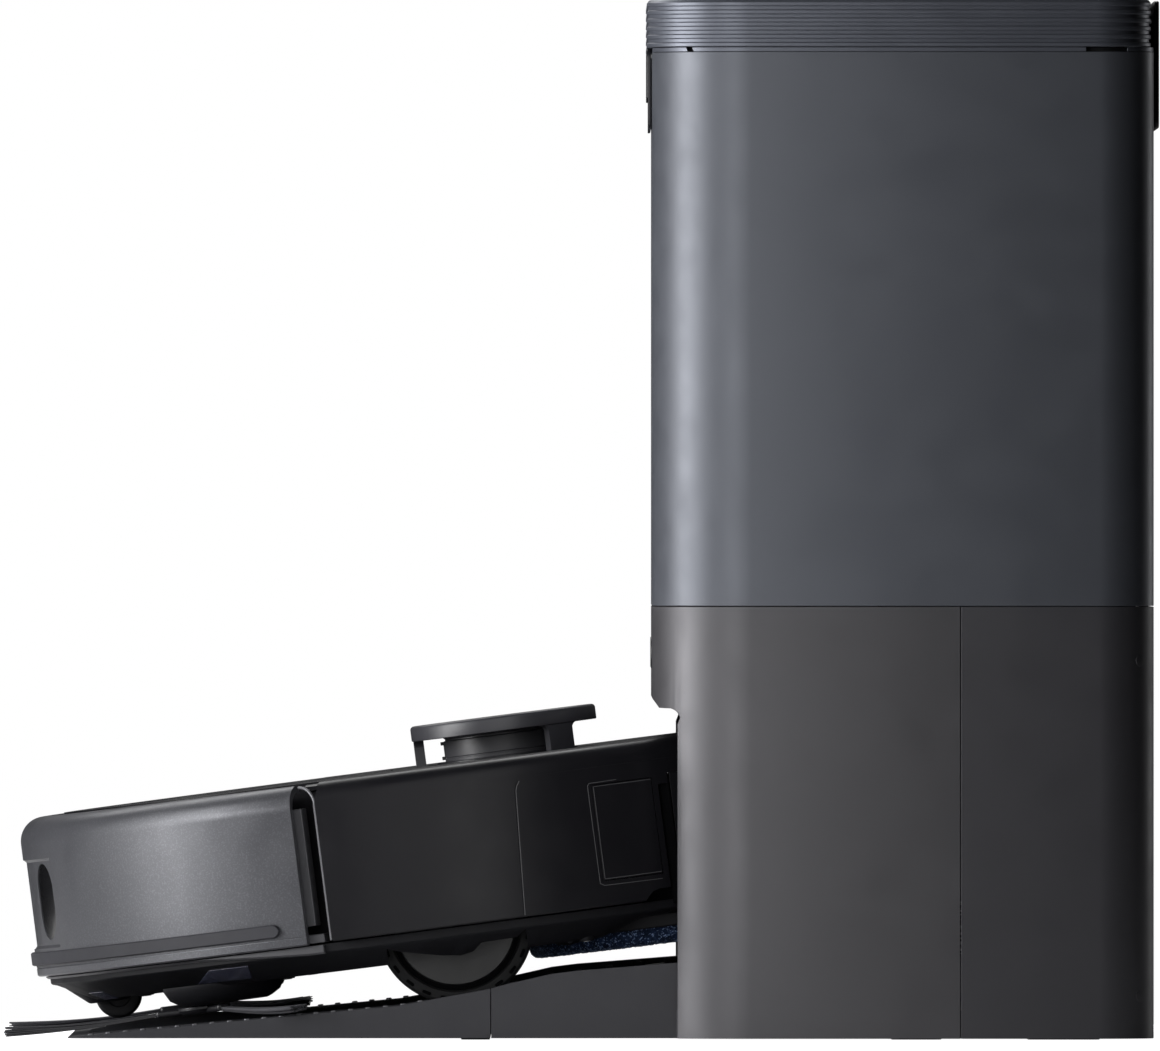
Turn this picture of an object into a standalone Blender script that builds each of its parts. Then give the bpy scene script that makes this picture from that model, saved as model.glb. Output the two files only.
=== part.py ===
"""Robot vacuum cleaner parked on the ramp of its emptying and mop-washing station.

Sizes are in millimetres and are scaled to metres as each mesh is stored. The station's frame stands
on the floor, +Z up, and the robot drives out towards -X. The robot has a frame of its own: its origin
is midway between the driving wheels, +X points to its rear, and the ramp pitches its rear up.
"""

import math

import bmesh
import bpy
from mathutils import Matrix, Vector

MM = 0.001
GAP = 0.3  # between pieces that touch on the real object
FAR = 240.0  # a cutter runs this far when it passes right out of the object

# Station column, seen from the side: the front face looks towards -X.
FRONT_X, REAR_X, HALF_WIDTH = 29.1, 231.5, 175.0
FRONT_RADIUS, REAR_RADIUS = 40.0, 22.0
LOWER_WALL, UPPER_WALL = 5.0, 3.0
SHELL_SEAM_X = 153.5
BASE_Z, WAIST_Z, RIM_Z = 0.6, 174.9, 398.5
LID_BOTTOM_Z, LID_TOP_Z = 400.6, 419.8
LID_FRONT_X, LID_REAR_X = 27.0, 230.3
MOUTH_Z = 137.8  # lower edge of the front face, above the bay
MOUTH_X, MOUTH_STEP_Z = 39.3, 127.3  # side edge of the bay's mouth, up to its rounded step
DECK_Z = 141.0
BAY_REAR_X = 131.0
PLINTH_TOP = 12.0
BUTTON_R, BUTTON_Z, BUTTON_FACE_X, BUTTON_REAR_X = 6.7, 156.0, 28.6, 37.0
INLET_X, INLET_Y, INLET_Z = (214.0, 231.2), (-128.0, -102.0), (22.0, 48.0)
CONTACT_X, CONTACT_Y, CONTACT_Z = (119.0, 137.0), 32.0, 92.0
CONTACT_HALF_WIDTH, CONTACT_HALF_HEIGHT = 7.0, 14.0
DUCT_X, DUCT_HALF, DUCT_TOP = (56.0, 94.0), 21.0, 187.0
VENT_HALF, VENT_LOW, VENT_HEIGHT, VENT_PITCH, VENTS = 60.0, 184.0, 1.8, 3.58, 23
HINGE_X, HINGE_Z, PIN_R, PIN_HALF, LUG_Y = 225.0, 414.0, 1.7, 73.0, 70.0
LID_HALF_WIDTH, LID_FRONT_R, LID_REAR_R = 176.4, 41.0, 22.0
LID_SKIN, LID_CRESTS, LID_CREST_DEPTH = 3.4, 5, 0.9
TAB_LOW, TAB_HALF, HINGE_COVER_HALF, HINGE_COVER_REAR_X = 368.0, 110.0, 120.0, 234.1
DOOR_HALF, DOOR_LOW, DOOR_HIGH = 118.0, 186.0, 362.0
TANK_X, TANK_Y, TANK_TOP, TANK_WALL, TANK_FLOOR = (120.0, 226.0), (46.0, 167.0), 392.0, 2.5, 3.0
MOTOR_X = 170.0
BAG_X, BAG_HALF, BAG_Z = (40.0, 112.0), 88.0, (190.0, 346.0)
PUMP_R, PUMP_Y, PUMP_AXIS = 14.0, (-60.0, -6.0), (164.0, 44.0)
BLOWER_R, BLOWER_Y, BLOWER_AXIS = 32.0, (40.0, 66.0), (176.0, 70.0)
STATION_BOARD = ((144.0, 146.0), (-80.0, 36.0), (64.0, 130.0))
FEET = (
    ("foot_front", (-48.0, -36.4)),
    ("foot_middle", (125.6, 145.8)),
    ("foot_rear", (180.6, 209.7)),
)
FOOT_HALF = 150.0

# Ramp and base: the top of the side edge, front to rear.
RAMP_HALF = 152.0
RAMP_SEAM_X, BASE_REAR_X = -36.0, 128.0
RAMP_EDGE = ((-206.8, 1.0), (-73.5, 13.7), (RAMP_SEAM_X, 20.6))
BASE_EDGE = ((RAMP_SEAM_X, 20.6), (-29.9, 22.3), (-11.6, 26.5), (-1.4, 27.8), (39.1, 31.0),
             (BASE_REAR_X, 31.0))
TRACK_LINE = ((-190.0, 5.3), (-150.0, 6.6), (-73.5, 13.7), (-52.0, 17.6), (-30.0, 20.6),
              (-11.6, 26.5), (0.0, 32.0))
TRACK_INNER, TRACK_OUTER, TRACK_DEPTH = 100.0, 142.0, 4.0

# Washing tray under the mops, in the robot's frame because it is pitched with it.
TRAY_X, TRAY_HALF, TRAY_LOW, TRAY_TOP = (23.0, 157.0), 138.0, -30.5, -28.4
TRAY_RIBS, TRAY_RIB_X, TRAY_RIB_PITCH, TRAY_RIB_WIDTH, TRAY_RIB_TOP = 10, 34.0, 12.0, 3.0, -26.4

# Robot, in its own frame.
WHEEL_AXIS_X, WHEEL_AXIS_Z = -50.5, 46.1  # in the station's frame
PITCH_DEG = 7.3
BODY_R, TOP_Z = 171.5, 64.5
SKIN = 3.0
BUMPER_DEG, COVER_DEG = 69.5, 106.9  # half angles of the bumper about -X and of the cover about +X
FRONT_WALL_R = 153.5
EDGE_ROUNDING = 8.0
FLANGE_R, FLANGE_LOW, FLOOR_R, REAR_FLOOR_R = 166.6, -4.3, 150.0, 157.0
CHASSIS_TOP, CHASSIS_LOW, PLATE = -0.7, -12.5, 3.0
REAR_RISE = ((55.0, -13.5), (75.0, -6.4))  # the underside rises here, clear of the mops
WELL_HALF, WELL_INNER, WELL_OUTER = 35.0, 101.0, 135.0
FENDER_EDGE = ((-28.5, -5.9), (-22.8, -7.8), (-7.8, -11.1), (0.6, -12.3), (5.9, -11.4),
               (9.8, -8.1), (24.4, -7.8), (28.2, -4.8))  # over the outer face of a wheel
REAR_MODULE_X, MODULE_TOP, MODULE_FLOOR, SKIRT_TOP, SKIRT_DEG = 92.0, 50.2, 16.0, 20.0, 57.0
COVER_NOTCH = ((78.0, -1.0), (79.2, 1.4), (81.2, 3.4), (84.0, 4.2), (FAR, 4.2), (FAR, -1.0))
BUMPER_LOW, BUMPER_TOP, BUMPER_ROUNDING, BUMPER_LIP_R = -0.4, 64.0, 10.0, 158.0
RECESS_R, RECESS_Z, RECESS_DEG = 170.3, (11.0, 47.0), 21.0
WINDOW_DEG, WINDOW_Z, WINDOW_R = (12.4, 19.5), (14.5, 45.0), (167.6, 169.9)
STRIP_Z, STRIP_R, STRIP_DEG = (4.1, 9.6), 173.2, 65.8
BUTTON_AT, CAP_R, CAP_DEPTH = (-143.0, 10.0), 4.5, 3.7
FLAP_Z, FLAP_SKIN = (10.4, 49.0), 1.7
LID_PLATE = 2.7
LIDAR_X, GUARD_R, GUARD_LOW, GUARD_TOP, DRUM_R = 29.4, 37.9, 75.0, 81.2, 25.2
POST_LOW, POST_RADII, POST_DEG = 62.2, (33.2, 37.3), ((-61, -42), (42, 61), (176.5, 183.5))
DRUM_LOW, DRUM_TOP, GUARD_RECESS_R, GUARD_RECESS_TOP = 60.0, 75.3, 26.8, 77.6
WHEEL_R, WHEEL_INNER, WHEEL_OUTER, HUB_R, STUB_R = 31.8, 110.0, 132.0, 24.0, 5.0
ARM_Y = (97.0, 104.0)
ARM_PIVOT_X, ARM_PIVOT_Z = -44.0, 12.0
CASTER_X, CASTER_SWIVEL_X, CASTER_Z, CASTER_R = -139.8, -143.5, -11.8, 9.5
CASTER_HALF, FORK_R, FORK_TOP, FORK_LOW, FORK_SLOT_HALF = 4.4, 20.3, -2.5, -14.0, 4.8
BRUSH_X, BRUSH_Y, BRUSH_REACH, BRUSH_LOW, BRUSH_TOP = -106.0, 92.0, 81.71, -22.9, -19.7
BRUSH_HUB_R, BRUSH_SHAFT_R, BRISTLE_HALF, BRISTLE_Z = 10.0, 5.0, 2.2, (-22.0, -20.4)
GEARBOX_X, GEARBOX_LOW = -96.0, -19.4
GEARBOX_STEPS = ((24.8, -11.0), (22.5, -16.5), (19.0, -18.6), (17.0, GEARBOX_LOW))
ROLLER_X, ROLLER_Z, ROLLER_R, ROLLER_HALF = -48.0, 6.0, 18.4, 88.0
ROLLER_CORE_R, ROLLER_RIBS, ROLLER_OPENING_HALF = 13.0, 6, 22.5
MOP_X, MOP_Y, MOP_R = 89.0, 66.0, 61.0
MOP_LOW, MOP_PLATE_LOW, MOP_PLATE_TOP, MOP_SHAFT_TOP = -18.4, -9.2, -7.1, 2.5
CARRIAGE = ((72.0, 106.0), (-84.0, 84.0), (3.0, 14.0))
BIN_X, BIN_HALF, BIN_Z, BIN_WALL = (-133.0, -77.0), 60.0, (1.0, 58.0), 2.0
FAN_X, FAN_R, FAN_Z = -46.0, 19.0, (25.0, 58.0)
BATTERY = ((-18.0, 54.0), (-60.0, 60.0), (-3.0, 46.0))
MAIN_BOARD = ((-16.0, 84.0), (-58.0, 58.0), (51.0, 53.0))
LID_X0, LID_X1, LID_HALF = -134.0, -18.0, 66.0
FLAP_DEG = (59.9, 68.8)


# ---------------------------------------------------------------- shapes

def clear_scene():
    for obj in list(bpy.data.objects):
        bpy.data.objects.remove(obj, do_unlink=True)


def material(name, colour, roughness, metallic=0.0):
    made = bpy.data.materials.new(name)
    made.use_nodes = True
    shader = made.node_tree.nodes["Principled BSDF"]
    shader.inputs["Base Color"].default_value = (*colour, 1.0)
    shader.inputs["Roughness"].default_value = roughness
    shader.inputs["Metallic"].default_value = metallic
    return made


def polar(radius, degrees, centre=(0.0, 0.0)):
    angle = math.radians(degrees)
    return centre[0] + radius * math.cos(angle), centre[1] + radius * math.sin(angle)


def arc(centre, radius, start, end, steps=6):
    """Points on a round stretch of an outline, angles in degrees."""
    return [polar(radius, start + (end - start) * i / steps, centre) for i in range(steps + 1)]


def prism(outline, low, high, axis="Z"):
    """Closed outline pushed along an axis: (x, y) along Z, (x, z) along Y, (y, z) along X."""
    place = {
        "Z": lambda a, b, t: (a, b, t),
        "Y": lambda a, b, t: (a, t, b),
        "X": lambda a, b, t: (t, a, b),
    }[axis]
    bm = bmesh.new()
    near = [bm.verts.new(place(a, b, low)) for a, b in outline]
    far = [bm.verts.new(place(a, b, high)) for a, b in outline]
    bm.faces.new(near)
    bm.faces.new(far)
    for i in range(len(outline)):
        j = (i + 1) % len(outline)
        bm.faces.new((near[i], near[j], far[j], far[i]))
    bmesh.ops.recalc_face_normals(bm, faces=bm.faces)
    return bm


def block(x, y, z):
    return prism(((x[0], y[0]), (x[1], y[0]), (x[1], y[1]), (x[0], y[1])), z[0], z[1])


def tube(outer, inner, low, high):
    """Wall between two plan outlines with the same number of points."""
    bm = bmesh.new()
    rings = [
        [bm.verts.new((x, y, z)) for x, y in outline]
        for outline, z in ((outer, low), (outer, high), (inner, high), (inner, low))
    ]
    for a, b in zip(rings, rings[1:] + rings[:1]):
        for i in range(len(outer)):
            j = (i + 1) % len(outer)
            bm.faces.new((a[i], a[j], b[j], b[i]))
    bmesh.ops.recalc_face_normals(bm, faces=bm.faces)
    return bm


def shell(levels):
    """Hollow shell lofted through (outline, height) levels, from its ceiling round to its top."""
    bm = bmesh.new()
    rings = [[bm.verts.new((x, y, z)) for x, y in outline] for outline, z in levels]
    for a, b in zip(rings, rings[1:]):
        for i in range(len(a)):
            j = (i + 1) % len(a)
            bm.faces.new((a[i], a[j], b[j], b[i]))
    bm.faces.new(rings[0])
    bm.faces.new(rings[-1])
    bmesh.ops.recalc_face_normals(bm, faces=bm.faces)
    return bm


def turned(profile, steps=48, at=(0.0, 0.0), axis="Z"):
    """Closed (radius, height) profile turned about Z, or laid over so that its axis is Y."""
    bm = bmesh.new()
    rings = []
    for radius, height in profile:
        if radius == 0:
            rings.append([bm.verts.new((0, 0, height))] * steps)
            continue
        points = [polar(radius, 360 * i / steps) for i in range(steps)]
        rings.append([bm.verts.new((x, y, height)) for x, y in points])
    for a, b in zip(rings, rings[1:] + rings[:1]):
        for i in range(steps):
            j = (i + 1) % steps
            corners = tuple(dict.fromkeys((a[i], a[j], b[j], b[i])))
            if len(corners) > 2:
                bm.faces.new(corners)
    bmesh.ops.recalc_face_normals(bm, faces=bm.faces)
    if axis == "Y":
        bm.transform(Matrix.Rotation(math.radians(-90), 4, "X"))
        bm.transform(Matrix.Translation((at[0], 0, at[1])))
    else:
        bm.transform(Matrix.Translation((at[0], at[1], 0)))
    return bm


def disc(radius, low, high, at=(0.0, 0.0), steps=32, axis="Z"):
    return turned(((0, low), (radius, low), (radius, high), (0, high)), steps, at, axis)


def sector(profile, start, end, steps):
    """Closed (radius, height) profile swept round Z from one angle to another, with flat ends."""
    bm = bmesh.new()
    rings = []
    for i in range(steps + 1):
        angle = start + (end - start) * i / steps
        rings.append([bm.verts.new((*polar(r, angle), z)) for r, z in profile])
    for a, b in zip(rings, rings[1:]):
        for i in range(len(profile)):
            j = (i + 1) % len(profile)
            bm.faces.new((a[i], a[j], b[j], b[i]))
    bm.faces.new(rings[0])
    bm.faces.new(rings[-1])
    bmesh.ops.recalc_face_normals(bm, faces=bm.faces)
    return bm


def band(inner, outer, low, high):
    """Rectangular (radius, height) profile."""
    return ((inner, low), (outer, low), (outer, high), (inner, high))


def add(name, bm, mat, parent=None, origin=(0, 0, 0)):
    """Stores a mesh as an object whose origin is at a point of its parent's frame."""
    bm.transform(Matrix.Translation(-Vector(origin)))
    bm.transform(Matrix.Scale(MM, 4))
    mesh = bpy.data.meshes.new(name)
    bm.to_mesh(mesh)
    bm.free()
    mesh.materials.append(mat)
    mesh.shade_smooth()
    mesh.set_sharp_from_angle(angle=math.radians(35))
    obj = bpy.data.objects.new(name, mesh)
    bpy.context.scene.collection.objects.link(obj)
    obj.location = Vector(origin) * MM
    obj.parent = parent
    return obj


def combine(obj, operation, *shapes, frame=None):
    """Joins, cuts or intersects an object with helper shapes given in its parent's frame."""
    for bm in shapes:
        helper = add(obj.name + "_" + operation.lower(), bm, obj.data.materials[0],
                     frame or obj.parent)
        helper.hide_render = True
        helper.display_type = "WIRE"
        modifier = obj.modifiers.new(operation.title(), "BOOLEAN")
        modifier.operation = operation
        modifier.solver = "EXACT"
        modifier.object = helper
    return obj


def join(obj, *shapes):
    return combine(obj, "UNION", *shapes)


def cut(obj, *shapes):
    return combine(obj, "DIFFERENCE", *shapes)


def rounded_plan(x0, x1, half, front_radius, rear_radius, steps=6):
    """Plan outline with its front at x0, going round from the rear corner on the -Y side."""
    return (
        arc((x1 - rear_radius, -half + rear_radius), rear_radius, -90, 0, steps)
        + arc((x1 - rear_radius, half - rear_radius), rear_radius, 0, 90, steps)
        + arc((x0 + front_radius, half - front_radius), front_radius, 90, 180, steps)
        + arc((x0 + front_radius, -half + front_radius), front_radius, 180, 270, steps)
    )


def column_plan(inset, steps=6):
    return rounded_plan(
        FRONT_X + inset, REAR_X - inset, HALF_WIDTH - inset,
        FRONT_RADIUS - inset, REAR_RADIUS - inset, steps,
    )


def empty(name, location, pitch_deg=0.0):
    made = bpy.data.objects.new(name, None)
    bpy.context.scene.collection.objects.link(made)
    made.location = Vector(location) * MM
    made.rotation_euler = (0, math.radians(-pitch_deg), 0)
    return made


# ---------------------------------------------------------------- station

def edge_prism(points, floor_z, half):
    outline = [(points[0][0], floor_z), (points[-1][0], floor_z), *reversed(points)]
    return prism(outline, -half, half, "Y")


def track_cutters(points):
    """Recesses for the two driving wheels, sunk below the side edge's line."""
    floor = [(x, max(z - TRACK_DEPTH, 2 * BASE_Z)) for x, z in points]
    outline = [*floor, (points[-1][0], FAR), (points[0][0], FAR)]
    return [prism(outline, *side, "Y") for side in (
        (-TRACK_OUTER, -TRACK_INNER), (TRACK_INNER, TRACK_OUTER),
    )]


def build_ramp(mat, tray_frame):
    front = [*RAMP_EDGE[:-1], (RAMP_SEAM_X - GAP / 2, RAMP_EDGE[-1][1])]
    ramp = add("ramp_plate", edge_prism(front, BASE_Z, RAMP_HALF), mat["ramp"])
    cut(ramp, *track_cutters(TRACK_LINE))

    rear = [(RAMP_SEAM_X + GAP / 2, BASE_EDGE[0][1]), *BASE_EDGE[1:]]
    base = add("dock_base", edge_prism(rear, BASE_Z, RAMP_HALF), mat["ramp"])
    join(base, prism(column_plan(LOWER_WALL + GAP), BASE_Z + 0.05, PLINTH_TOP))
    cut(base, *track_cutters(TRACK_LINE))
    room = 1.0
    basin = block(
        (TRAY_X[0] - room, TRAY_X[1] + room), (-TRAY_HALF - room, TRAY_HALF + room),
        (TRAY_LOW - GAP, FAR),
    )
    combine(base, "DIFFERENCE", basin, frame=tray_frame)

    teeth = []
    for i in range(TRAY_RIBS):
        x = TRAY_RIB_X + i * TRAY_RIB_PITCH
        end = x + TRAY_RIB_WIDTH
        teeth += [(x, TRAY_TOP), (x, TRAY_RIB_TOP), (end, TRAY_RIB_TOP), (end, TRAY_TOP)]
    start, end = TRAY_X
    outline = [(start, TRAY_LOW), (end, TRAY_LOW), (end, TRAY_TOP), *reversed(teeth),
               (start, TRAY_TOP)]
    add("wash_tray", prism(outline, -TRAY_HALF, TRAY_HALF, "Y"), mat["tray"], tray_frame)

    for name, x in FEET:
        foot = block(x, (-FOOT_HALF, FOOT_HALF), (0.0, BASE_Z - 0.1))
        add(name, foot, mat["rubber"])


def build_lower_shells(mat):
    top = WAIST_Z - GAP / 2
    everything = (-FAR, FAR)
    lower = add("lower_shell", tube(column_plan(0), column_plan(LOWER_WALL), BASE_Z, top),
                mat["lower"])
    step_r = 5.3
    mouth = [(0.0, -FAR), (MOUTH_X, -FAR), (MOUTH_X, MOUTH_STEP_Z)]
    mouth += arc((MOUTH_X - 4.1, MOUTH_STEP_Z + 1.3), step_r, 15, 75, 4)
    mouth += [(FRONT_X + 2.9, MOUTH_Z - 3.9), (FRONT_X, MOUTH_Z), (0.0, MOUTH_Z)]
    cut(
        lower,
        block((SHELL_SEAM_X - GAP / 2, FAR), everything, everything),
        prism(mouth, *everything, "Y"),
        front_disc(BUTTON_R + GAP, 0.0, MOUTH_X, 0.0, BUTTON_Z),
    )
    button = front_disc(BUTTON_R, BUTTON_FACE_X, BUTTON_REAR_X, 0.0, BUTTON_Z)
    add("station_button", button, mat["dark"], origin=(BUTTON_FACE_X, 0.0, BUTTON_Z))

    rear = add("rear_lower_cover",
               tube(column_plan(0), column_plan(UPPER_WALL), BASE_Z, top), mat["lower_rear"])
    half = GAP + 0.2
    cut(
        rear,
        block((0.0, SHELL_SEAM_X + GAP / 2), everything, everything),
        block(
            (INLET_X[0], FAR), (INLET_Y[0] - half, INLET_Y[1] + half),
            (INLET_Z[0] - half, INLET_Z[1] + half),
        ),
    )
    add("power_inlet", block(INLET_X, INLET_Y, INLET_Z), mat["dark"])


def front_disc(radius, x_low, x_high, y, z, steps=24):
    """Round bar along X."""
    bm = disc(radius, x_low, x_high, steps=steps)
    bm.transform(Matrix.Rotation(math.radians(90), 4, "Y"))
    bm.transform(Matrix.Translation((0, y, z)))
    return bm


def build_bay(mat):
    inset = LOWER_WALL + GAP
    wall = 3.0
    liner = add("bay_liner", prism(column_plan(inset), MOUTH_Z, DECK_Z), mat["liner"])
    duct_hole = block(
        (DUCT_X[0] + 1.0, DUCT_X[1] - 1.0), (1.0 - DUCT_HALF, DUCT_HALF - 1.0), (MOUTH_Z - 8, FAR),
    )
    cut(liner, duct_hole)
    wall_half = HALF_WIDTH - inset - GAP
    rear_wall = block(
        (BAY_REAR_X, BAY_REAR_X + wall), (-wall_half, wall_half), (PLINTH_TOP + 0.4, DECK_Z),
    )
    join(liner, rear_wall)
    for side, y in (("left", CONTACT_Y), ("right", -CONTACT_Y)):
        low, high = y - CONTACT_HALF_WIDTH, y + CONTACT_HALF_WIDTH
        bottom, top = CONTACT_Z - CONTACT_HALF_HEIGHT, CONTACT_Z + CONTACT_HALF_HEIGHT
        room = GAP + 0.1
        cut(liner, block(
            (CONTACT_X[0] + 1.0, CONTACT_X[1] + 3.0), (low - room, high + room),
            (bottom - room, top + room),
        ))
        add("contact_" + side, block(CONTACT_X, (low, high), (bottom, top)), mat["contact"],
            origin=(CONTACT_X[0], y, CONTACT_Z))
    wall = 2.0
    outside = rounded_plan(*DUCT_X, DUCT_HALF, 4.0, 4.0, 2)
    inside = rounded_plan(DUCT_X[0] + wall, DUCT_X[1] - wall, DUCT_HALF - wall, 3.0, 3.0, 2)
    add("dust_duct", tube(outside, inside, DECK_Z + GAP, DUCT_TOP), mat["liner"])


def build_upper_shell(mat):
    shell = add(
        "upper_shell",
        tube(column_plan(0), column_plan(UPPER_WALL), WAIST_Z + GAP / 2, RIM_Z), mat["upper"],
    )
    side = DOOR_HALF + GAP
    past_wall = FRONT_X + 2 * UPPER_WALL
    cut(shell, block((0.0, past_wall), (-side, side), (DOOR_LOW - GAP, DOOR_HIGH + GAP)))
    for i in range(VENTS):
        z = VENT_LOW + i * VENT_PITCH
        cut(shell, block((REAR_X - 3 * UPPER_WALL, FAR), (-VENT_HALF, VENT_HALF),
                         (z, z + VENT_HEIGHT)))
    door = block((FRONT_X, FRONT_X + UPPER_WALL), (-DOOR_HALF, DOOR_HALF), (DOOR_LOW, DOOR_HIGH))
    add("dust_bag_door", door, mat["upper"],
        origin=(FRONT_X, DOOR_HALF + GAP, (DOOR_LOW + DOOR_HIGH) / 2))


def build_lid(mat):
    """Lid with a skirt, hung on a pin under its rear edge, and the plate that hangs at its front."""
    height = LID_TOP_Z - LID_BOTTOM_Z
    roof = 2.4
    pivot = (HINGE_X, 0.0, HINGE_Z)
    levels = [(lid_plan(LID_SKIN), LID_TOP_Z - roof), (lid_plan(LID_SKIN), LID_BOTTOM_Z)]
    for i in range(2 * LID_CRESTS):
        z = LID_BOTTOM_Z + height * i / (2 * LID_CRESTS)
        levels.append((lid_plan(LID_CREST_DEPTH if i % 2 else 0.0), z))
    levels.append((lid_plan(2.0), LID_TOP_Z))
    lid = add("station_lid", shell(levels), mat["lid"], origin=pivot)
    room = 1.5
    lug_half = 3.0
    for y in (-LUG_Y, LUG_Y):
        half = lug_half + room
        cut(lid, block((HINGE_X - 5.0, FAR), (y - half, y + half), (0.0, HINGE_Z + 3.0)))
    tab = block(
        (LID_FRONT_X, FRONT_X - GAP), (-TAB_HALF, TAB_HALF), (TAB_LOW, LID_BOTTOM_Z - GAP),
    )
    add("lid_front_tab", tab, mat["dark"], origin=pivot)
    cover = block(
        (REAR_X + GAP, HINGE_COVER_REAR_X), (-HINGE_COVER_HALF, HINGE_COVER_HALF),
        (TAB_LOW, LID_TOP_Z),
    )
    add("lid_hinge_cover", cover, mat["dark"])
    pin = disc(PIN_R, -PIN_HALF, PIN_HALF, (HINGE_X, HINGE_Z), 16, "Y")
    pin_obj = add("lid_hinge_pin", pin, mat["metal"])
    lug_r = PIN_R + 1.0
    for y in (-LUG_Y, LUG_Y):
        lug = arc((HINGE_X, HINGE_Z), lug_r, 0, 180, 6)
        lug = [(HINGE_X + lug_r, RIM_Z + GAP), *lug, (HINGE_X - lug_r, RIM_Z + GAP)]
        join(pin_obj, prism(lug, y - lug_half, y + lug_half, "Y"))


def lid_plan(inset):
    return rounded_plan(
        LID_FRONT_X + inset, LID_REAR_X - inset, LID_HALF_WIDTH - inset,
        LID_FRONT_R - inset, LID_REAR_R - inset, 5,
    )


def build_tanks(mat):
    """Open-topped tanks in the two rear corners, with the suction motor between them."""
    low = DECK_Z + GAP
    half = (TANK_Y[1] - TANK_Y[0]) / 2
    middle = TANK_Y[0] + half
    front_r, rear_r = 8.0, 18.0
    for name, side, slot in (("clean_tank", 1, "clean"), ("dirty_tank", -1, "dirty")):
        def plan(inset, side=side):
            points = rounded_plan(TANK_X[0] + inset, TANK_X[1] - inset, half - inset,
                                  front_r - inset, rear_r - inset, 3)
            return [(x, y + side * middle) for x, y in points]

        tank = add(name, prism(plan(0.0), low, TANK_TOP), mat[slot])
        cut(tank, prism(plan(TANK_WALL), low + TANK_FLOOR, TANK_TOP + 10.0))
    can = ((0, 142), (34, 142), (37, 148), (37, 222), (24, 234), (24, 256), (0, 256))
    add("suction_motor", turned(can, 32, (MOTOR_X, 0.0)), mat["dark"])
    bag = rounded_plan(*BAG_X, BAG_HALF, 16.0, 16.0, 4)
    add("dust_bag", prism(bag, *BAG_Z), mat["bag"])
    add("water_pump", disc(PUMP_R, *PUMP_Y, PUMP_AXIS, 24, "Y"), mat["dark"])
    add("drying_blower", disc(BLOWER_R, *BLOWER_Y, BLOWER_AXIS, 32, "Y"), mat["dark"])
    add("station_board", block(*STATION_BOARD), mat["board"])


# ---------------------------------------------------------------- robot

def build_chassis(mat, frame):
    inner = FLOOR_R - 2.0
    profile = (
        (0, CHASSIS_LOW), (FLOOR_R, CHASSIS_LOW), (164.0, FLANGE_LOW), (FLANGE_R, FLANGE_LOW),
        (FLANGE_R, CHASSIS_TOP), (160.0, CHASSIS_TOP), (inner, CHASSIS_LOW + PLATE),
        (0, CHASSIS_LOW + PLATE),
    )
    chassis = add("chassis", turned(profile, 60), mat["chassis"], frame)
    cup_r, pocket_r, cup_top, pocket_top = MOP_R + 6.5, MOP_R + 2.5, -3.5, MOP_PLATE_TOP + 0.8
    for side, steps in ((-1, 29), (1, 31)):
        join(chassis, disc(cup_r, CHASSIS_LOW + 0.1, cup_top, (MOP_X, side * MOP_Y), steps))
        housing = ((0, GEARBOX_STEPS[0][1]), *GEARBOX_STEPS, (0, GEARBOX_LOW))
        join(chassis, turned(housing, 26, (GEARBOX_X, side * BRUSH_Y)))
    start_x, (rear_x, rise_top) = REAR_RISE[0][0], REAR_RISE[1]
    rear_rise = (*REAR_RISE, (FAR, rise_top), (FAR, -FAR), (start_x, -FAR))
    cut(
        chassis,
        prism(rear_rise, -FAR, FAR, "Y"),
        disc(pocket_r, -FAR, pocket_top, (MOP_X, -MOP_Y), 30),
        disc(pocket_r, -FAR, pocket_top, (MOP_X, MOP_Y), 30),
    )
    rear_floor = arc((0.0, 0.0), REAR_FLOOR_R, -63, 63, 21)
    join(chassis, prism(rear_floor, rise_top + 0.25, cup_top + 0.2))
    combine(chassis, "INTERSECT", disc(FLANGE_R - 0.02, -FAR, FAR, steps=60))
    shaft_room, brush_room, clear = 8.0, BRUSH_SHAFT_R + 0.5, 5.0
    well_edge = WELL_OUTER - 1.0
    open_side = ((FENDER_EDGE[0][0], -FAR), (FENDER_EDGE[-1][0], -FAR), *reversed(FENDER_EDGE))
    for side in (-1, 1):
        well = sorted((side * WELL_INNER, side * WELL_OUTER))
        cut(
            chassis,
            disc(shaft_room, CHASSIS_LOW + 2.5, clear, (MOP_X, side * MOP_Y), 24),
            block((-WELL_HALF, WELL_HALF), well, (-FAR, clear)),
            disc(brush_room, -FAR, clear, (BRUSH_X, side * BRUSH_Y), 20),
            prism(open_side, *sorted((side * well_edge, side * FAR)), "Y"),
        )
    half = ROLLER_OPENING_HALF
    cut(
        chassis,
        block((ROLLER_X - half, ROLLER_X + half), (-ROLLER_HALF - 5.0, ROLLER_HALF + 5.0),
              (-FAR, clear)),
        disc(FORK_R + 0.7, -FAR, clear, (CASTER_SWIVEL_X, 0.0), 32),
    )


def cover_plan(inset, front_inset):
    """Round at the sides and rear, stepping in at the front to leave room for the bumper."""
    turn = math.degrees(front_inset / 160.0)
    half = COVER_DEG - turn
    return (
        arc((0, 0), BODY_R - inset, -half, half, 44)
        + arc((0, 0), FRONT_WALL_R - front_inset, half, 360 - half, 24)
    )


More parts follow.
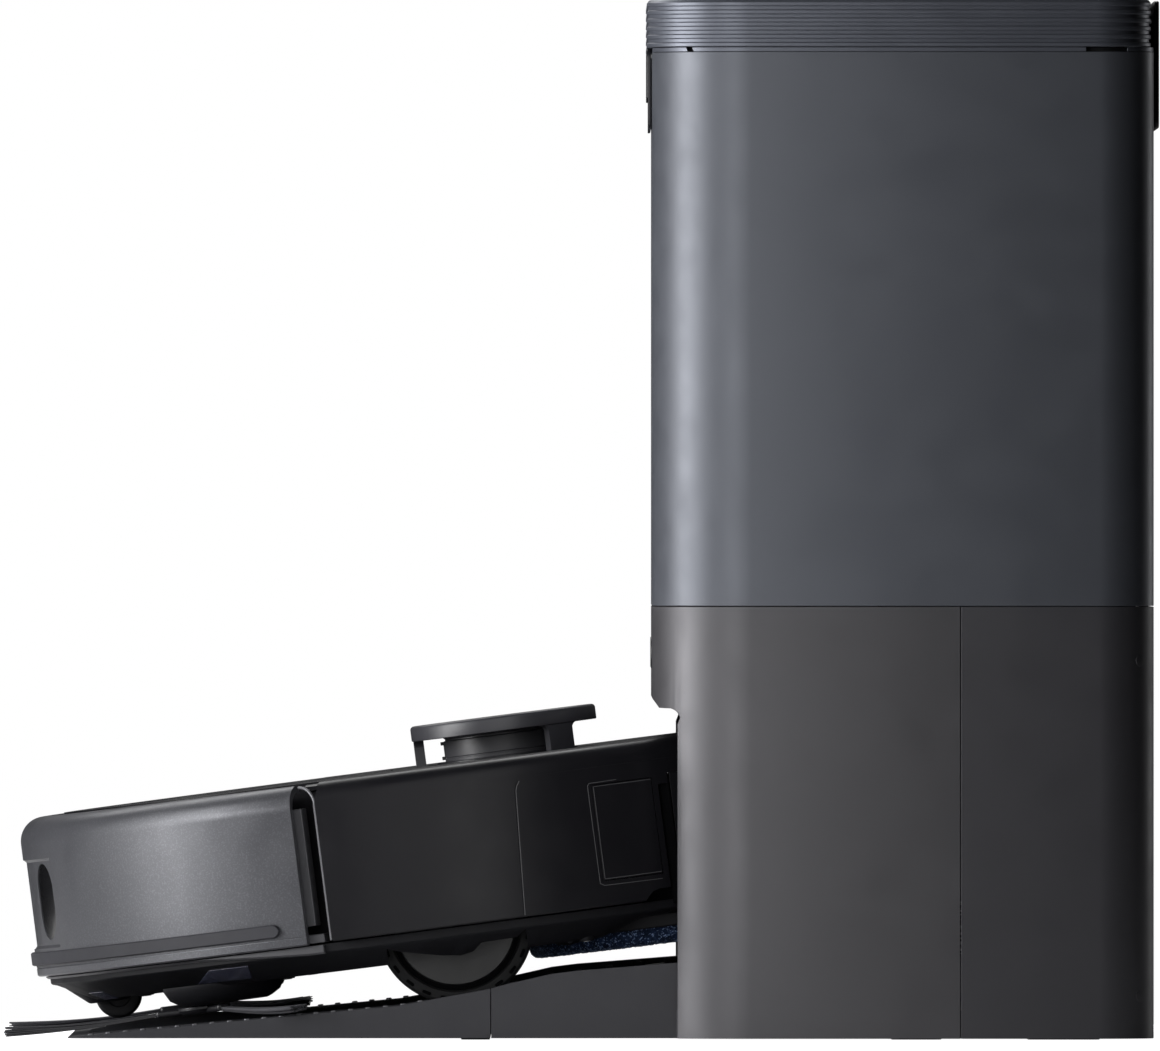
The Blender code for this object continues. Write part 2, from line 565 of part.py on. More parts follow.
def build_top_cover(mat, frame):
    inner_rounding = 5.0
    edge_z = TOP_Z - EDGE_ROUNDING
    levels = [(cover_plan(EDGE_ROUNDING, SKIN + 1.5), TOP_Z - SKIN)]
    for angle in (60, 30, 0):
        inset = SKIN + inner_rounding * (1 - math.cos(math.radians(angle)))
        z = edge_z + inner_rounding * math.sin(math.radians(angle))
        levels.append((cover_plan(inset, SKIN), z))
    levels += [(cover_plan(SKIN, SKIN), 0.0), (cover_plan(0.0, 0.0), 0.0)]
    for angle in (0, 22.5, 45, 67.5, 90):
        inset = EDGE_ROUNDING * (1 - math.cos(math.radians(angle)))
        z = edge_z + EDGE_ROUNDING * math.sin(math.radians(angle))
        levels.append((cover_plan(inset, min(inset, 1.0)), z))
    cover = add("top_cover", shell(levels), mat["cover"], frame)
    under_roof = 50.0
    cut(
        cover,
        block((REAR_MODULE_X - 3.5, FAR), (-FAR, FAR), (-FAR, MODULE_TOP + GAP)),
        prism(COVER_NOTCH, -FAR, FAR, "Y"),
        prism(robot_lid_plan(GAP), under_roof, FAR),
        disc(DRUM_R + 1.3, under_roof, FAR, (LIDAR_X, 0.0), 32),
    )
    for start, end in POST_DEG:
        cut(cover, post(start, end, 0.5, under_roof, FAR))
    for side in (-1, 1):
        at = (BUTTON_AT[0], side * BUTTON_AT[1])
        cut(cover, disc(CAP_R + GAP, under_roof, FAR, at, 20))
    low, high = FLAP_DEG
    extra = math.degrees(GAP / BODY_R)
    opening = band(160.0, 180.0, FLAP_Z[0] - GAP, FLAP_Z[1] + GAP)
    cut(cover, sector(opening, -high - extra, -low + extra, 6))


def post(start, end, extra, low, high):
    """A post of the laser guard, or with extra room its hole in the cover."""
    inner, outer = POST_RADII
    turn = math.degrees(extra / outer)
    bm = sector(band(inner - extra, outer + extra, low, high), start - turn, end + turn, 4)
    bm.transform(Matrix.Translation((LIDAR_X, 0.0, 0.0)))
    return bm


def robot_lid_plan(extra):
    return rounded_plan(LID_X0 - extra, LID_X1 + extra, LID_HALF + extra, 20.0, 6.0, 4)


def build_cover_parts(mat, frame):
    add("robot_lid", prism(robot_lid_plan(0.0), TOP_Z - LID_PLATE, TOP_Z), mat["cover"], frame,
        origin=(LID_X1 + GAP, 0.0, TOP_Z))
    for name, side in (("power_button", -1), ("home_button", 1)):
        at = (BUTTON_AT[0], side * BUTTON_AT[1])
        add(name, disc(CAP_R, TOP_Z - CAP_DEPTH, TOP_Z, at, 20), mat["dark"], frame,
            origin=(*at, TOP_Z))
    low, high = FLAP_DEG
    hinge = polar(BODY_R, -high)
    flap = sector(band(BODY_R - FLAP_SKIN, BODY_R, *FLAP_Z), -high, -low, 6)
    add("side_flap", flap, mat["cover"], frame, origin=(*hinge, sum(FLAP_Z) / 2))
    skirt = band(BODY_R - SKIN, BODY_R, GAP, SKIRT_TOP)
    tank = add("water_tank", sector(skirt, -SKIRT_DEG, SKIRT_DEG, 30), mat["module"], frame)
    plan = arc((0.0, 0.0), BODY_R, -SKIRT_DEG, SKIRT_DEG, 30)
    join(tank, prism(plan, MODULE_FLOOR, MODULE_TOP))
    chamfer = 1.2
    plate = ((0, GUARD_LOW), (GUARD_R, GUARD_LOW), (GUARD_R, GUARD_TOP - chamfer),
             (GUARD_R - chamfer, GUARD_TOP), (0, GUARD_TOP))
    guard = add("lidar_guard", turned(plate, 48, (LIDAR_X, 0.0)), mat["dark"], frame)
    for start, end in POST_DEG:
        join(guard, post(start, end, 0.0, POST_LOW, GUARD_LOW + 3.0))
    cut(guard, disc(GUARD_RECESS_R, -FAR, GUARD_RECESS_TOP, (LIDAR_X, 0.0), 40))
    drum = disc(DRUM_R, DRUM_LOW, DRUM_TOP, (LIDAR_X, 0.0), 40)
    add("lidar_drum", drum, mat["lens"], frame, origin=(LIDAR_X, 0.0, DRUM_LOW + 5.0))


def build_bumper(mat, frame):
    centre = (BODY_R - BUMPER_ROUNDING, BUMPER_TOP - BUMPER_ROUNDING)
    rounding = arc(centre, BUMPER_ROUNDING, 0, 90, 4)
    inside = arc(centre, BUMPER_ROUNDING - SKIN, 90, 0, 3)
    profile = [
        (BODY_R, BUMPER_LOW), *rounding, (BUMPER_LIP_R, BUMPER_TOP),
        (BUMPER_LIP_R, BUMPER_TOP - SKIN), *inside, (BODY_R - SKIN, BUMPER_LOW),
    ]
    bumper = add("bumper", sector(profile, 180 - BUMPER_DEG, 180 + BUMPER_DEG, 28),
                 mat["bumper"], frame)
    outside = 180.0
    recess = band(RECESS_R, outside, *RECESS_Z)
    cut(bumper, sector(recess, 180 - RECESS_DEG, 180 + RECESS_DEG, 12))
    extra = math.degrees(GAP / BODY_R)
    for name, side in (("window_left", 1), ("window_right", -1)):
        low, high = sorted((180 + side * WINDOW_DEG[0], 180 + side * WINDOW_DEG[1]))
        hole = band(150.0, outside, WINDOW_Z[0] - GAP, WINDOW_Z[1] + GAP)
        cut(bumper, sector(hole, low - extra, high + extra, 4))
        add(name, sector(band(*WINDOW_R, *WINDOW_Z), low, high, 4), mat["lens"], frame)
    strip = band(BODY_R + GAP, STRIP_R, *STRIP_Z)
    add("bumper_strip", sector(strip, 180 - STRIP_DEG, 180 + STRIP_DEG, 28), mat["rubber"], frame)


def build_wheels(mat, frame):
    edge = 1.5
    for name, side in (("left", 1), ("right", -1)):
        inner, outer = sorted((side * WHEEL_INNER, side * WHEEL_OUTER))
        profile = (
            (0, inner), (HUB_R, inner), (WHEEL_R - edge, inner), (WHEEL_R, inner + edge),
            (WHEEL_R, outer - edge), (WHEEL_R - edge, outer), (HUB_R, outer), (0, outer),
        )
        wheel = add("wheel_" + name, turned(profile, 40, axis="Y"), mat["tyre"], frame,
                    origin=(0.0, side * (WHEEL_INNER + WHEEL_OUTER) / 2, 0.0))
        stub = sorted((side * (ARM_Y[1] + GAP), side * (WHEEL_INNER + 2.0)))
        join(wheel, disc(STUB_R, *stub, (0.0, 0.0), 16, "Y"))
        pivot = (ARM_PIVOT_X, ARM_PIVOT_Z)
        outline = [*arc((0.0, 0.0), 8.0, -110, 60, 6), *arc(pivot, 7.0, 70, 260, 6)]
        arm_side = sorted((side * ARM_Y[0], side * ARM_Y[1]))
        add("wheel_arm_" + name, prism(outline, *arm_side, "Y"), mat["dark"], frame,
            origin=(pivot[0], side * sum(ARM_Y) / 2, pivot[1]))


def build_caster(mat, frame):
    swivel = (CASTER_SWIVEL_X, 0.0)
    profile = ((0, FORK_LOW), (8.5, FORK_LOW), (FORK_R, FORK_TOP - 1.5), (FORK_R, FORK_TOP),
               (0, FORK_TOP))
    fork = add("caster_fork", turned(profile, 32, swivel), mat["chassis"], frame,
               origin=(*swivel, FORK_TOP))
    room = CASTER_R + 0.8
    cut(fork, block((CASTER_X - room, CASTER_X + room), (-FORK_SLOT_HALF, FORK_SLOT_HALF),
                    (-FAR, 0.0)))
    half, edge = CASTER_HALF, 1.5
    rounded = ((0, -half), (CASTER_R - edge, -half), (CASTER_R, edge - half),
               (CASTER_R, half - edge), (CASTER_R - edge, half), (0, half))
    add("caster_wheel", turned(rounded, 28, (CASTER_X, CASTER_Z), "Y"), mat["tyre"], frame,
        origin=(CASTER_X, 0.0, CASTER_Z))


def build_brushes(mat, frame):
    edge = 1.5
    for name, side in (("left", 1), ("right", -1)):
        hub = (BRUSH_X, side * BRUSH_Y)
        profile = (
            (0, BRUSH_LOW), (BRUSH_HUB_R - edge, BRUSH_LOW), (BRUSH_HUB_R, BRUSH_LOW + edge),
            (BRUSH_HUB_R, BRUSH_TOP), (BRUSH_SHAFT_R, BRUSH_TOP), (BRUSH_SHAFT_R, -10.0),
            (0, -10.0),
        )
        brush = add("side_brush_" + name, turned(profile, 24, hub), mat["bristle"], frame,
                    origin=(*hub, BRUSH_TOP))
        for angle in (180, 60, -60):
            blade = block((2.0, BRUSH_REACH), (-BRISTLE_HALF, BRISTLE_HALF), BRISTLE_Z)
            blade.transform(Matrix.Rotation(math.radians(angle), 4, "Z"))
            blade.transform(Matrix.Translation((*hub, 0)))
            join(brush, blade)
    ribs, points = [], 4 * ROLLER_RIBS
    for i in range(points):
        radius = ROLLER_R if i % 4 == 0 else ROLLER_CORE_R
        ribs.append(polar(radius, i * 360 / points, (ROLLER_X, ROLLER_Z)))
    add("main_brush", prism(ribs, -ROLLER_HALF, ROLLER_HALF, "Y"), mat["rubber"], frame,
        origin=(ROLLER_X, 0.0, ROLLER_Z))


def build_mops(mat, frame):
    plate_r, shaft_r = MOP_R - 2.0, 5.0
    for name, side in (("left", 1), ("right", -1)):
        at = (MOP_X, side * MOP_Y)
        plate = ((0, MOP_PLATE_LOW), (plate_r, MOP_PLATE_LOW), (plate_r, MOP_PLATE_TOP),
                 (shaft_r, MOP_PLATE_TOP), (shaft_r, MOP_SHAFT_TOP), (0, MOP_SHAFT_TOP))
        add("mop_plate_" + name, turned(plate, 40, at), mat["dark"], frame, origin=(*at, 0.0))
        add("mop_pad_" + name, disc(MOP_R, MOP_LOW, MOP_PLATE_LOW - GAP, at, 40), mat["mop"],
            frame, origin=(*at, MOP_LOW))
    add("mop_carriage", block(*CARRIAGE), mat["dark"], frame)


def build_inside(mat, frame):
    wall = BIN_WALL
    tub = add("dust_bin", block(BIN_X, (-BIN_HALF, BIN_HALF), BIN_Z), mat["bin"], frame)
    cut(tub, block((BIN_X[0] + wall, BIN_X[1] - wall), (wall - BIN_HALF, BIN_HALF - wall),
                   (BIN_Z[0] + wall, FAR)))
    add("fan_motor", disc(FAN_R, *FAN_Z, (FAN_X, 0.0), 28), mat["dark"], frame)
    add("battery", block(*BATTERY), mat["battery"], frame)
    add("main_board", block(*MAIN_BOARD), mat["board"], frame)


def main():
    clear_scene()
    mat = {
        "upper": material("upper shell", (0.105, 0.115, 0.14), 0.42, 0.2),
        "lower": material("lower shell", (0.085, 0.085, 0.095), 0.45),
        "lower_rear": material("rear lower cover", (0.06, 0.06, 0.068), 0.45),
        "lid": material("station lid", (0.05, 0.052, 0.062), 0.4),
        "ramp": material("ramp", (0.045, 0.045, 0.055), 0.5),
        "tray": material("wash tray", (0.03, 0.03, 0.034), 0.5),
        "liner": material("bay liner", (0.02, 0.02, 0.022), 0.5),
        "clean": material("clean tank", (0.3, 0.34, 0.4), 0.2),
        "dirty": material("dirty tank", (0.12, 0.13, 0.15), 0.25),
        "bag": material("dust bag", (0.75, 0.74, 0.7), 0.9),
        "cover": material("robot cover", (0.026, 0.026, 0.03), 0.35),
        "module": material("rear tank", (0.01, 0.01, 0.012), 0.4),
        "bumper": material("bumper", (0.12, 0.12, 0.13), 0.4, 0.2),
        "chassis": material("chassis", (0.012, 0.012, 0.014), 0.5),
        "dark": material("dark plastic", (0.015, 0.015, 0.017), 0.4),
        "lens": material("dark lens", (0.004, 0.004, 0.005), 0.1),
        "tyre": material("tyre", (0.012, 0.012, 0.013), 0.75),
        "rubber": material("rubber", (0.03, 0.03, 0.033), 0.7),
        "bristle": material("bristles", (0.05, 0.05, 0.055), 0.6),
        "mop": material("mop fabric", (0.018, 0.03, 0.06), 0.95),
        "bin": material("dust bin", (0.1, 0.1, 0.11), 0.2),
        "battery": material("battery", (0.02, 0.02, 0.022), 0.5),
        "board": material("circuit board", (0.01, 0.09, 0.04), 0.5),
        "contact": material("contacts", (0.75, 0.72, 0.6), 0.25, 1.0),
        "metal": material("steel", (0.6, 0.6, 0.62), 0.3, 1.0),
    }
    frame = empty("robot_frame", (WHEEL_AXIS_X, 0.0, WHEEL_AXIS_Z), PITCH_DEG)
    build_ramp(mat, frame)
    build_lower_shells(mat)
    build_bay(mat)
    build_upper_shell(mat)
    build_lid(mat)
    build_tanks(mat)
    build_chassis(mat, frame)
    build_top_cover(mat, frame)
    build_cover_parts(mat, frame)
    build_bumper(mat, frame)
    build_wheels(mat, frame)
    build_caster(mat, frame)
    build_brushes(mat, frame)
    build_mops(mat, frame)
    build_inside(mat, frame)


main()
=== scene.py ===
"""Looks of the robot vacuum and its station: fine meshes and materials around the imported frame.

Sizes are in millimetres and are scaled to metres as a piece is stored. The robot's pieces are built in
its own frame, midway between its driving wheels with +X to its rear, and are then pitched by the ramp.
"""

import math
import random

import bmesh
import bpy
from mathutils import Matrix, Vector


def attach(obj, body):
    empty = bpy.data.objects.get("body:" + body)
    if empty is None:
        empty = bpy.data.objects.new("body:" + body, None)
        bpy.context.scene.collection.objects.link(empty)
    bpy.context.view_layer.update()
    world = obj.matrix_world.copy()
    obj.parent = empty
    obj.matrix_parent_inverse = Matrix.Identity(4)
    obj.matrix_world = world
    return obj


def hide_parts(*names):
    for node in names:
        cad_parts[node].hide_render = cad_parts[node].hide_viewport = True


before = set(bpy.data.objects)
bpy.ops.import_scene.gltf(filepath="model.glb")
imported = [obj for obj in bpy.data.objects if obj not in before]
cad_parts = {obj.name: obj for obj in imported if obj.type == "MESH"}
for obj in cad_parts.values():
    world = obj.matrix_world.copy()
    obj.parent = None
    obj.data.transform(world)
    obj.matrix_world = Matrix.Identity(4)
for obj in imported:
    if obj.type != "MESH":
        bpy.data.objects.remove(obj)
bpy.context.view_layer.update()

MM = 0.001
GAP = 0.3

FRONT_X, REAR_X, HALF_WIDTH = 29.1, 231.5, 175.0
FRONT_RADIUS, REAR_RADIUS = 40.0, 22.0
SHELL_SEAM_X, LOWER_WALL, UPPER_WALL = 153.5, 5.0, 3.0
BASE_Z, WAIST_Z, RIM_Z = 0.6, 174.9, 398.5
LID_BOTTOM_Z, LID_TOP_Z = 400.6, 419.8
LID_FRONT_X, LID_REAR_X, LID_HALF_WIDTH = 27.0, 230.3, 176.4
MOUTH_Z = 137.8
DOOR_HALF, DOOR_LOW, DOOR_HIGH = 118.0, 186.0, 362.0

RAMP_HALF = 152.0
RAMP_SEAM_X = -36.0
RAMP_EDGE = ((-206.8, 1.0), (-73.5, 13.7), (-36.15, 20.6))
BASE_EDGE = ((-35.85, 20.6), (-29.9, 22.3), (-11.6, 26.5), (-1.4, 27.8), (39.1, 31.0))
TRACK_LINE = ((-190.0, 5.3), (-150.0, 6.6), (-73.5, 13.7), (-52.0, 17.6), (-30.0, 20.6),
              (-11.6, 26.5), (0.0, 32.0))
TRACK_INNER, TRACK_OUTER, TRACK_DEPTH = 100.0, 142.0, 4.0

WHEEL_AXIS_X, WHEEL_AXIS_Z, PITCH_DEG = -50.5, 46.1, 7.3
BODY_R, TOP_Z, SKIN = 171.5, 64.5, 3.0
BUMPER_DEG, COVER_DEG = 69.5, 106.9
FRONT_WALL_R = 153.5
MODULE_TOP = 50.2
LIDAR_X, GUARD_R, GUARD_LOW, GUARD_TOP, DRUM_R = 29.4, 37.9, 75.0, 81.2, 25.2
POST_DEG = ((-61, -42), (42, 61), (176.5, 183.5))
WHEEL_INNER, WHEEL_OUTER = 110.0, 132.0
CASTER_X, CASTER_SWIVEL_X, CASTER_Z = -139.8, -143.5, -11.8
BRUSH_X, BRUSH_Y, BRUSH_REACH = -106.0, 92.0, 81.71
ROLLER_X, ROLLER_Z, ROLLER_HALF = -48.0, 6.0, 88.0
MOP_X, MOP_Y, MOP_R = 89.0, 66.0, 61.0
MOP_LOW, MOP_PLATE_LOW = -18.4, -9.2
LID_X0, LID_X1, LID_HALF = -134.0, -18.0, 66.0
FLAP_DEG, FLAP_LOW, FLAP_HIGH = (59.9, 68.8), 10.4, 49.0
FENDER_EDGE = ((-28.5, -5.9), (-22.8, -7.8), (-7.8, -11.1), (0.6, -12.3), (5.9, -11.4),
               (9.8, -8.1), (24.4, -7.8), (28.2, -4.8))

ROBOT = (
    Matrix.Translation((WHEEL_AXIS_X, 0, WHEEL_AXIS_Z))
    @ Matrix.Rotation(math.radians(-PITCH_DEG), 4, "Y")
)
STATION = Matrix.Identity(4)

SIDE_NAME = {1: "left", -1: "right"}
START_BUTTON_Z = 156.0
HINGE_AT = (225.0, 414.0)
TANK_Y = 106.5
CONTACT_Y = 32.0
BUTTON_X, BUTTON_Y = -143.0, 10.0
BOSSES = ((-70.0, 118.0), (-60.0, 52.0), (-128.0, 52.0), (20.0, 40.0), (52.0, 140.0))
BRUSH_ARMS_DEG = (180, 60, -60)
STRIP_HALF_DEG = 245.8 - 180.0
SMOOTH_DEG = 32.0
FULL_DEPTH = (-200.0, 200.0)


# ---------------------------------------------------------------- materials

def new_material(name):
    mat = bpy.data.materials.new(name)
    mat.use_nodes = True
    return mat, mat.node_tree.nodes, mat.node_tree.links


def noise(nodes, links, scale, detail=3.0, roughness=0.55, stretch=None):
    """Noise in the piece's own space, features about 1/scale metres, optionally stretched."""
    coords = nodes.new("ShaderNodeTexCoord")
    texture = nodes.new("ShaderNodeTexNoise")
    texture.inputs["Scale"].default_value = scale
    texture.inputs["Detail"].default_value = detail
    texture.inputs["Roughness"].default_value = roughness
    source = coords.outputs["Object"]
    if stretch:
        mapping = nodes.new("ShaderNodeMapping")
        mapping.inputs["Scale"].default_value = stretch
        links.new(source, mapping.inputs["Vector"])
        source = mapping.outputs["Vector"]
    links.new(source, texture.inputs["Vector"])
    return texture.outputs["Fac"]


def ranged(nodes, links, value, low, high, start=0.3, end=0.7):
    mapped = nodes.new("ShaderNodeMapRange")
    mapped.inputs["From Min"].default_value = start
    mapped.inputs["From Max"].default_value = end
    mapped.inputs["To Min"].default_value = low
    mapped.inputs["To Max"].default_value = high
    links.new(value, mapped.inputs["Value"])
    return mapped.outputs["Result"]


def blended(nodes, links, factor, first, second):
    """Mix from the first colour, which may be a socket, to the second."""
    mix = nodes.new("ShaderNodeMix")
    mix.data_type = "RGBA"
    if isinstance(first, tuple):
        mix.inputs["A"].default_value = (*first, 1)
    else:
        links.new(first, mix.inputs["A"])
    mix.inputs["B"].default_value = (*second, 1)
    links.new(factor, mix.inputs["Factor"])
    return mix.outputs["Result"]


def relief(nodes, links, height, strength, distance):
    bump = nodes.new("ShaderNodeBump")
    bump.inputs["Strength"].default_value = strength
    bump.inputs["Distance"].default_value = distance
    links.new(height, bump.inputs["Height"])
    links.new(bump.outputs["Normal"], nodes["Principled BSDF"].inputs["Normal"])


def scaled(colour, factor):
    return tuple(min(1.0, c * factor) for c in colour)


def plastic(name, colour, rough=0.42, grain=2200.0, bump=0.12, spread=0.12, speckle=0.0,
            metallic=0.0, coat=0.0, specular=0.5):
    """Moulded plastic: fine spark-eroded grain, faint cloudy colour, roughness that varies."""
    mat, nodes, links = new_material(name)
    shader = nodes["Principled BSDF"]
    shader.inputs["Metallic"].default_value = metallic
    shader.inputs["Specular IOR Level"].default_value = specular
    shader.inputs["Coat Weight"].default_value = coat
    shader.inputs["Coat Roughness"].default_value = 0.18
    fine = noise(nodes, links, grain, 2.0)
    cloud = noise(nodes, links, 14.0, 4.0)
    tone = blended(nodes, links, ranged(nodes, links, cloud, 0.0, 1.0),
                   scaled(colour, 1 - spread), scaled(colour, 1 + spread))
    if speckle:
        spots = noise(nodes, links, grain * 0.8, 1.0)
        tone = blended(nodes, links, ranged(nodes, links, spots, 0.0, 1.0, 0.5, 0.68),
                       tone, scaled(colour, 1 + speckle))
    links.new(tone, shader.inputs["Base Color"])
    smudge = noise(nodes, links, 60.0, 5.0)
    links.new(ranged(nodes, links, smudge, rough - 0.05, rough + 0.06), shader.inputs["Roughness"])
    relief(nodes, links, fine, bump, 0.0001)
    return mat


def rubber(name, colour, rough=0.75):
    return plastic(name, colour, rough, grain=1400.0, bump=0.3, spread=0.2, specular=0.3)


def plush(name, colour, fleck_and_painted_light):
    """Twisted microfibre: dark tufts with lighter fibre flecks, made brighter than the fibres as
    painted light from the front, and a soft sheen.
    """
    mat, nodes, links = new_material(name)
    shader = nodes["Principled BSDF"]
    shader.inputs["Roughness"].default_value = 0.95
    shader.inputs["Specular IOR Level"].default_value = 0.15
    shader.inputs["Sheen Weight"].default_value = 0.6
    shader.inputs["Sheen Roughness"].default_value = 0.4
    shader.inputs["Sheen Tint"].default_value = (0.35, 0.45, 0.7, 1)
    fibres = noise(nodes, links, 900.0, 2.0, 0.8)
    tufts = noise(nodes, links, 420.0, 3.0, 0.6)
    base = blended(nodes, links, ranged(nodes, links, tufts, 0.0, 1.0, 0.35, 0.65),
                   scaled(colour, 0.45), scaled(colour, 1.35))
    links.new(blended(nodes, links, ranged(nodes, links, fibres, 0.0, 1.0, 0.56, 0.64), base, fleck_and_painted_light),
              shader.inputs["Base Color"])
    relief(nodes, links, tufts, 0.9, 0.0006)
    return mat


def metal(name, colour, rough=0.28):
    """Drawn or plated metal with fine lengthwise scratches."""
    mat, nodes, links = new_material(name)
    shader = nodes["Principled BSDF"]
    shader.inputs["Metallic"].default_value = 1.0
    scratches = noise(nodes, links, 900.0, 3.0, stretch=(0.06, 1.0, 1.0))
    links.new(blended(nodes, links, ranged(nodes, links, scratches, 0.0, 1.0),
                      scaled(colour, 0.82), scaled(colour, 1.08)), shader.inputs["Base Color"])
    links.new(ranged(nodes, links, scratches, rough - 0.08, rough + 0.12),
              shader.inputs["Roughness"])
    return mat


MATERIALS = {
    "upper": plastic("upper_shell_paint", (0.104, 0.111, 0.130), 0.40, 2600, 0.05, 0.02,
                     metallic=0.35),
    "lower": plastic("lower_shell_satin", (0.094, 0.092, 0.099), 0.42, 2600, 0.07, 0.03,
                     metallic=0.45),
    "lower_rear": plastic("rear_cover_satin", (0.056, 0.055, 0.062), 0.46, 2600, 0.07, 0.03,
                          metallic=0.15),
    "lid": plastic("lid_satin", (0.125, 0.134, 0.162), 0.38, 2600, 0.05, 0.03, metallic=0.45),
    "ramp": plastic("ramp_grain", (0.038, 0.038, 0.044), 0.50, 1800, 0.18, 0.05, specular=0.35),
    "inner": plastic("inner_grain", (0.012, 0.012, 0.014), 0.55, 1500, 0.25, 0.1),
    "clean": plastic("clean_tank_clear", (0.16, 0.20, 0.26), 0.12, 800, 0.02, 0.06, coat=0.5),
    "dirty": plastic("dirty_tank_clear", (0.05, 0.055, 0.07), 0.14, 800, 0.02, 0.06, coat=0.5),
    "bag": plastic("filter_cloth", (0.66, 0.65, 0.60), 0.95, 700, 0.9, 0.08, specular=0.1),
    "cover": plastic("cover_satin", (0.0085, 0.0083, 0.0102), 0.34, 2600, 0.08, 0.05, specular=0.2),
    "cover_top": plastic("cover_top_gloss", (0.020, 0.020, 0.024), 0.26, 2600, 0.04, 0.05),
    "module": plastic("rear_tank_dark", (0.010, 0.010, 0.012), 0.38, 2000, 0.10, 0.05),
    "bumper": plastic("bumper_spark", (0.072, 0.073, 0.081), 0.33, 1900, 0.35, 0.03,
                      speckle=0.35, metallic=0.3, specular=0.35),
    "bumper_strip": rubber("strip_rubber", (0.030, 0.030, 0.036), 0.6),
    "chassis": plastic("chassis_matt", (0.009, 0.009, 0.011), 0.55, 1600, 0.22, 0.1,
                       specular=0.16),
    "dark": plastic("dark_trim_satin", (0.014, 0.014, 0.017), 0.34, 2200, 0.08, 0.06),
    "guard": plastic("guard_satin", (0.045, 0.045, 0.052), 0.36, 2400, 0.08, 0.05),
    "lens": plastic("infrared_window", (0.004, 0.004, 0.005), 0.08, 800, 0.0, 0.1, coat=0.6),
    "sensor": plastic("sensor_lens", (0.035, 0.037, 0.060), 0.15, 900, 0.05, 0.3, coat=0.4),
    "tyre": rubber("tyre_rubber", (0.013, 0.013, 0.014), 0.62),
    "hub": plastic("hub_plastic", (0.012, 0.012, 0.013), 0.42, 1800, 0.12, 0.08),
    "rubber": rubber("soft_rubber", (0.020, 0.020, 0.022), 0.7),
    "bristle": plastic("bristle_nylon", (0.090, 0.090, 0.100), 0.38, 3000, 0.2, 0.25),
    # mop flecks: real fibre flecks, with extra brightness that is painted light from the front
    "mop": plush("mop_plush", (0.014, 0.026, 0.062), (0.24, 0.34, 0.58)),
    "bin": plastic("bin_clear", (0.10, 0.10, 0.11), 0.12, 800, 0.02, 0.08, coat=0.5),
    "battery": plastic("battery_wrap", (0.012, 0.014, 0.020), 0.3, 400, 0.2, 0.1),
    "board": plastic("solder_mask", (0.006, 0.060, 0.028), 0.3, 900, 0.3, 0.2),
    "contact": metal("contact_plate", (0.80, 0.74, 0.58), 0.22),
    "steel": metal("drawn_steel", (0.58, 0.58, 0.60), 0.25),
    # Light grey for painted highlights: the lit front edge of the robot's cover and the glints on the
    # ramp's edge studs
    "edge_glint_paint": plastic("painted_glint_grey", (0.13, 0.13, 0.14), 0.45, 2600, 0.03, 0.03, metallic=0.6),
    "rail": plastic("rail_spark", (0.075, 0.075, 0.082), 0.42, 1900, 0.25, 0.04, metallic=0.2),
    # bead: lighter grey for painted highlights along seams and edges of the cover and the side flap
    "bead": plastic("painted_highlight_line", (0.085, 0.085, 0.090), 0.4, 2200, 0.05, 0.05),
    "drum": plastic("turret_satin", (0.040, 0.040, 0.045), 0.42, 2200, 0.05, 0.05),
    # painted_shade: near-black colour for painted shade in the tyre slots and behind the rear gap
    "painted_shade": plastic("shadow_black", (0.0025, 0.0025, 0.003), 0.85, 1200, 0.2, 0.1, specular=0.05),
    "caster": rubber("caster_black", (0.006, 0.006, 0.007), 0.45),
    "bristle_dark": plastic("bristle_dark_nylon", (0.030, 0.030, 0.035), 0.38, 3000, 0.2, 0.25),
}


# ---------------------------------------------------------------- geometry

def polar(radius, degrees, centre=(0.0, 0.0)):
    turn = math.radians(degrees)
    return centre[0] + radius * math.cos(turn), centre[1] + radius * math.sin(turn)


def arc(centre, radius, start, end, steps):
    return [polar(radius, start + (end - start) * i / steps, centre) for i in range(steps + 1)]


def joined(*meshes):
    """Several bmeshes as one, their surfaces left as they are."""
    whole = bmesh.new()
    for bm in meshes:
        copy = bpy.data.meshes.new("part")
        bm.to_mesh(copy)
        whole.from_mesh(copy)
        bpy.data.meshes.remove(copy)
        bm.free()
    return whole


def loft(rings, closed=False):
    """Rings of equal length joined in order, with flat ends unless closed into a loop."""
    bm = bmesh.new()
    loops = [[bm.verts.new(point) for point in ring] for ring in rings]
    pairs = list(zip(loops, loops[1:]))
    if closed:
        pairs.append((loops[-1], loops[0]))
    for a, b in pairs:
        for i in range(len(a)):
            j = (i + 1) % len(a)
            bm.faces.new((a[i], a[j], b[j], b[i]))
    if not closed:
        bm.faces.new(loops[0])
        bm.faces.new(loops[-1])
    bmesh.ops.recalc_face_normals(bm, faces=bm.faces)
    return bm


ACROSS = {
    "Z": lambda a, b, t: (a, b, t),
    "Y": lambda a, b, t: (a, t, b),
    "X": lambda a, b, t: (t, a, b),
}


def prism(outline, low, high, axis="Z"):
    """Closed outline pushed along an axis: (x, y) along Z, (x, z) along Y, (y, z) along X."""
    place = ACROSS[axis]
    return loft([[place(a, b, t) for a, b in outline] for t in (low, high)])


def block(x, y, z):
    return prism(((x[0], y[0]), (x[1], y[0]), (x[1], y[1]), (x[0], y[1])), z[0], z[1])


def levels(*plans):
    """Loft through (plan outline, height) levels, with flat ends."""
    return loft([[(x, y, z) for x, y in outline] for outline, z in plans])


def ringed(*plans):
    """Wall through (plan outline, height) levels that closes on itself."""
    return loft([[(x, y, z) for x, y in outline] for outline, z in plans], closed=True)


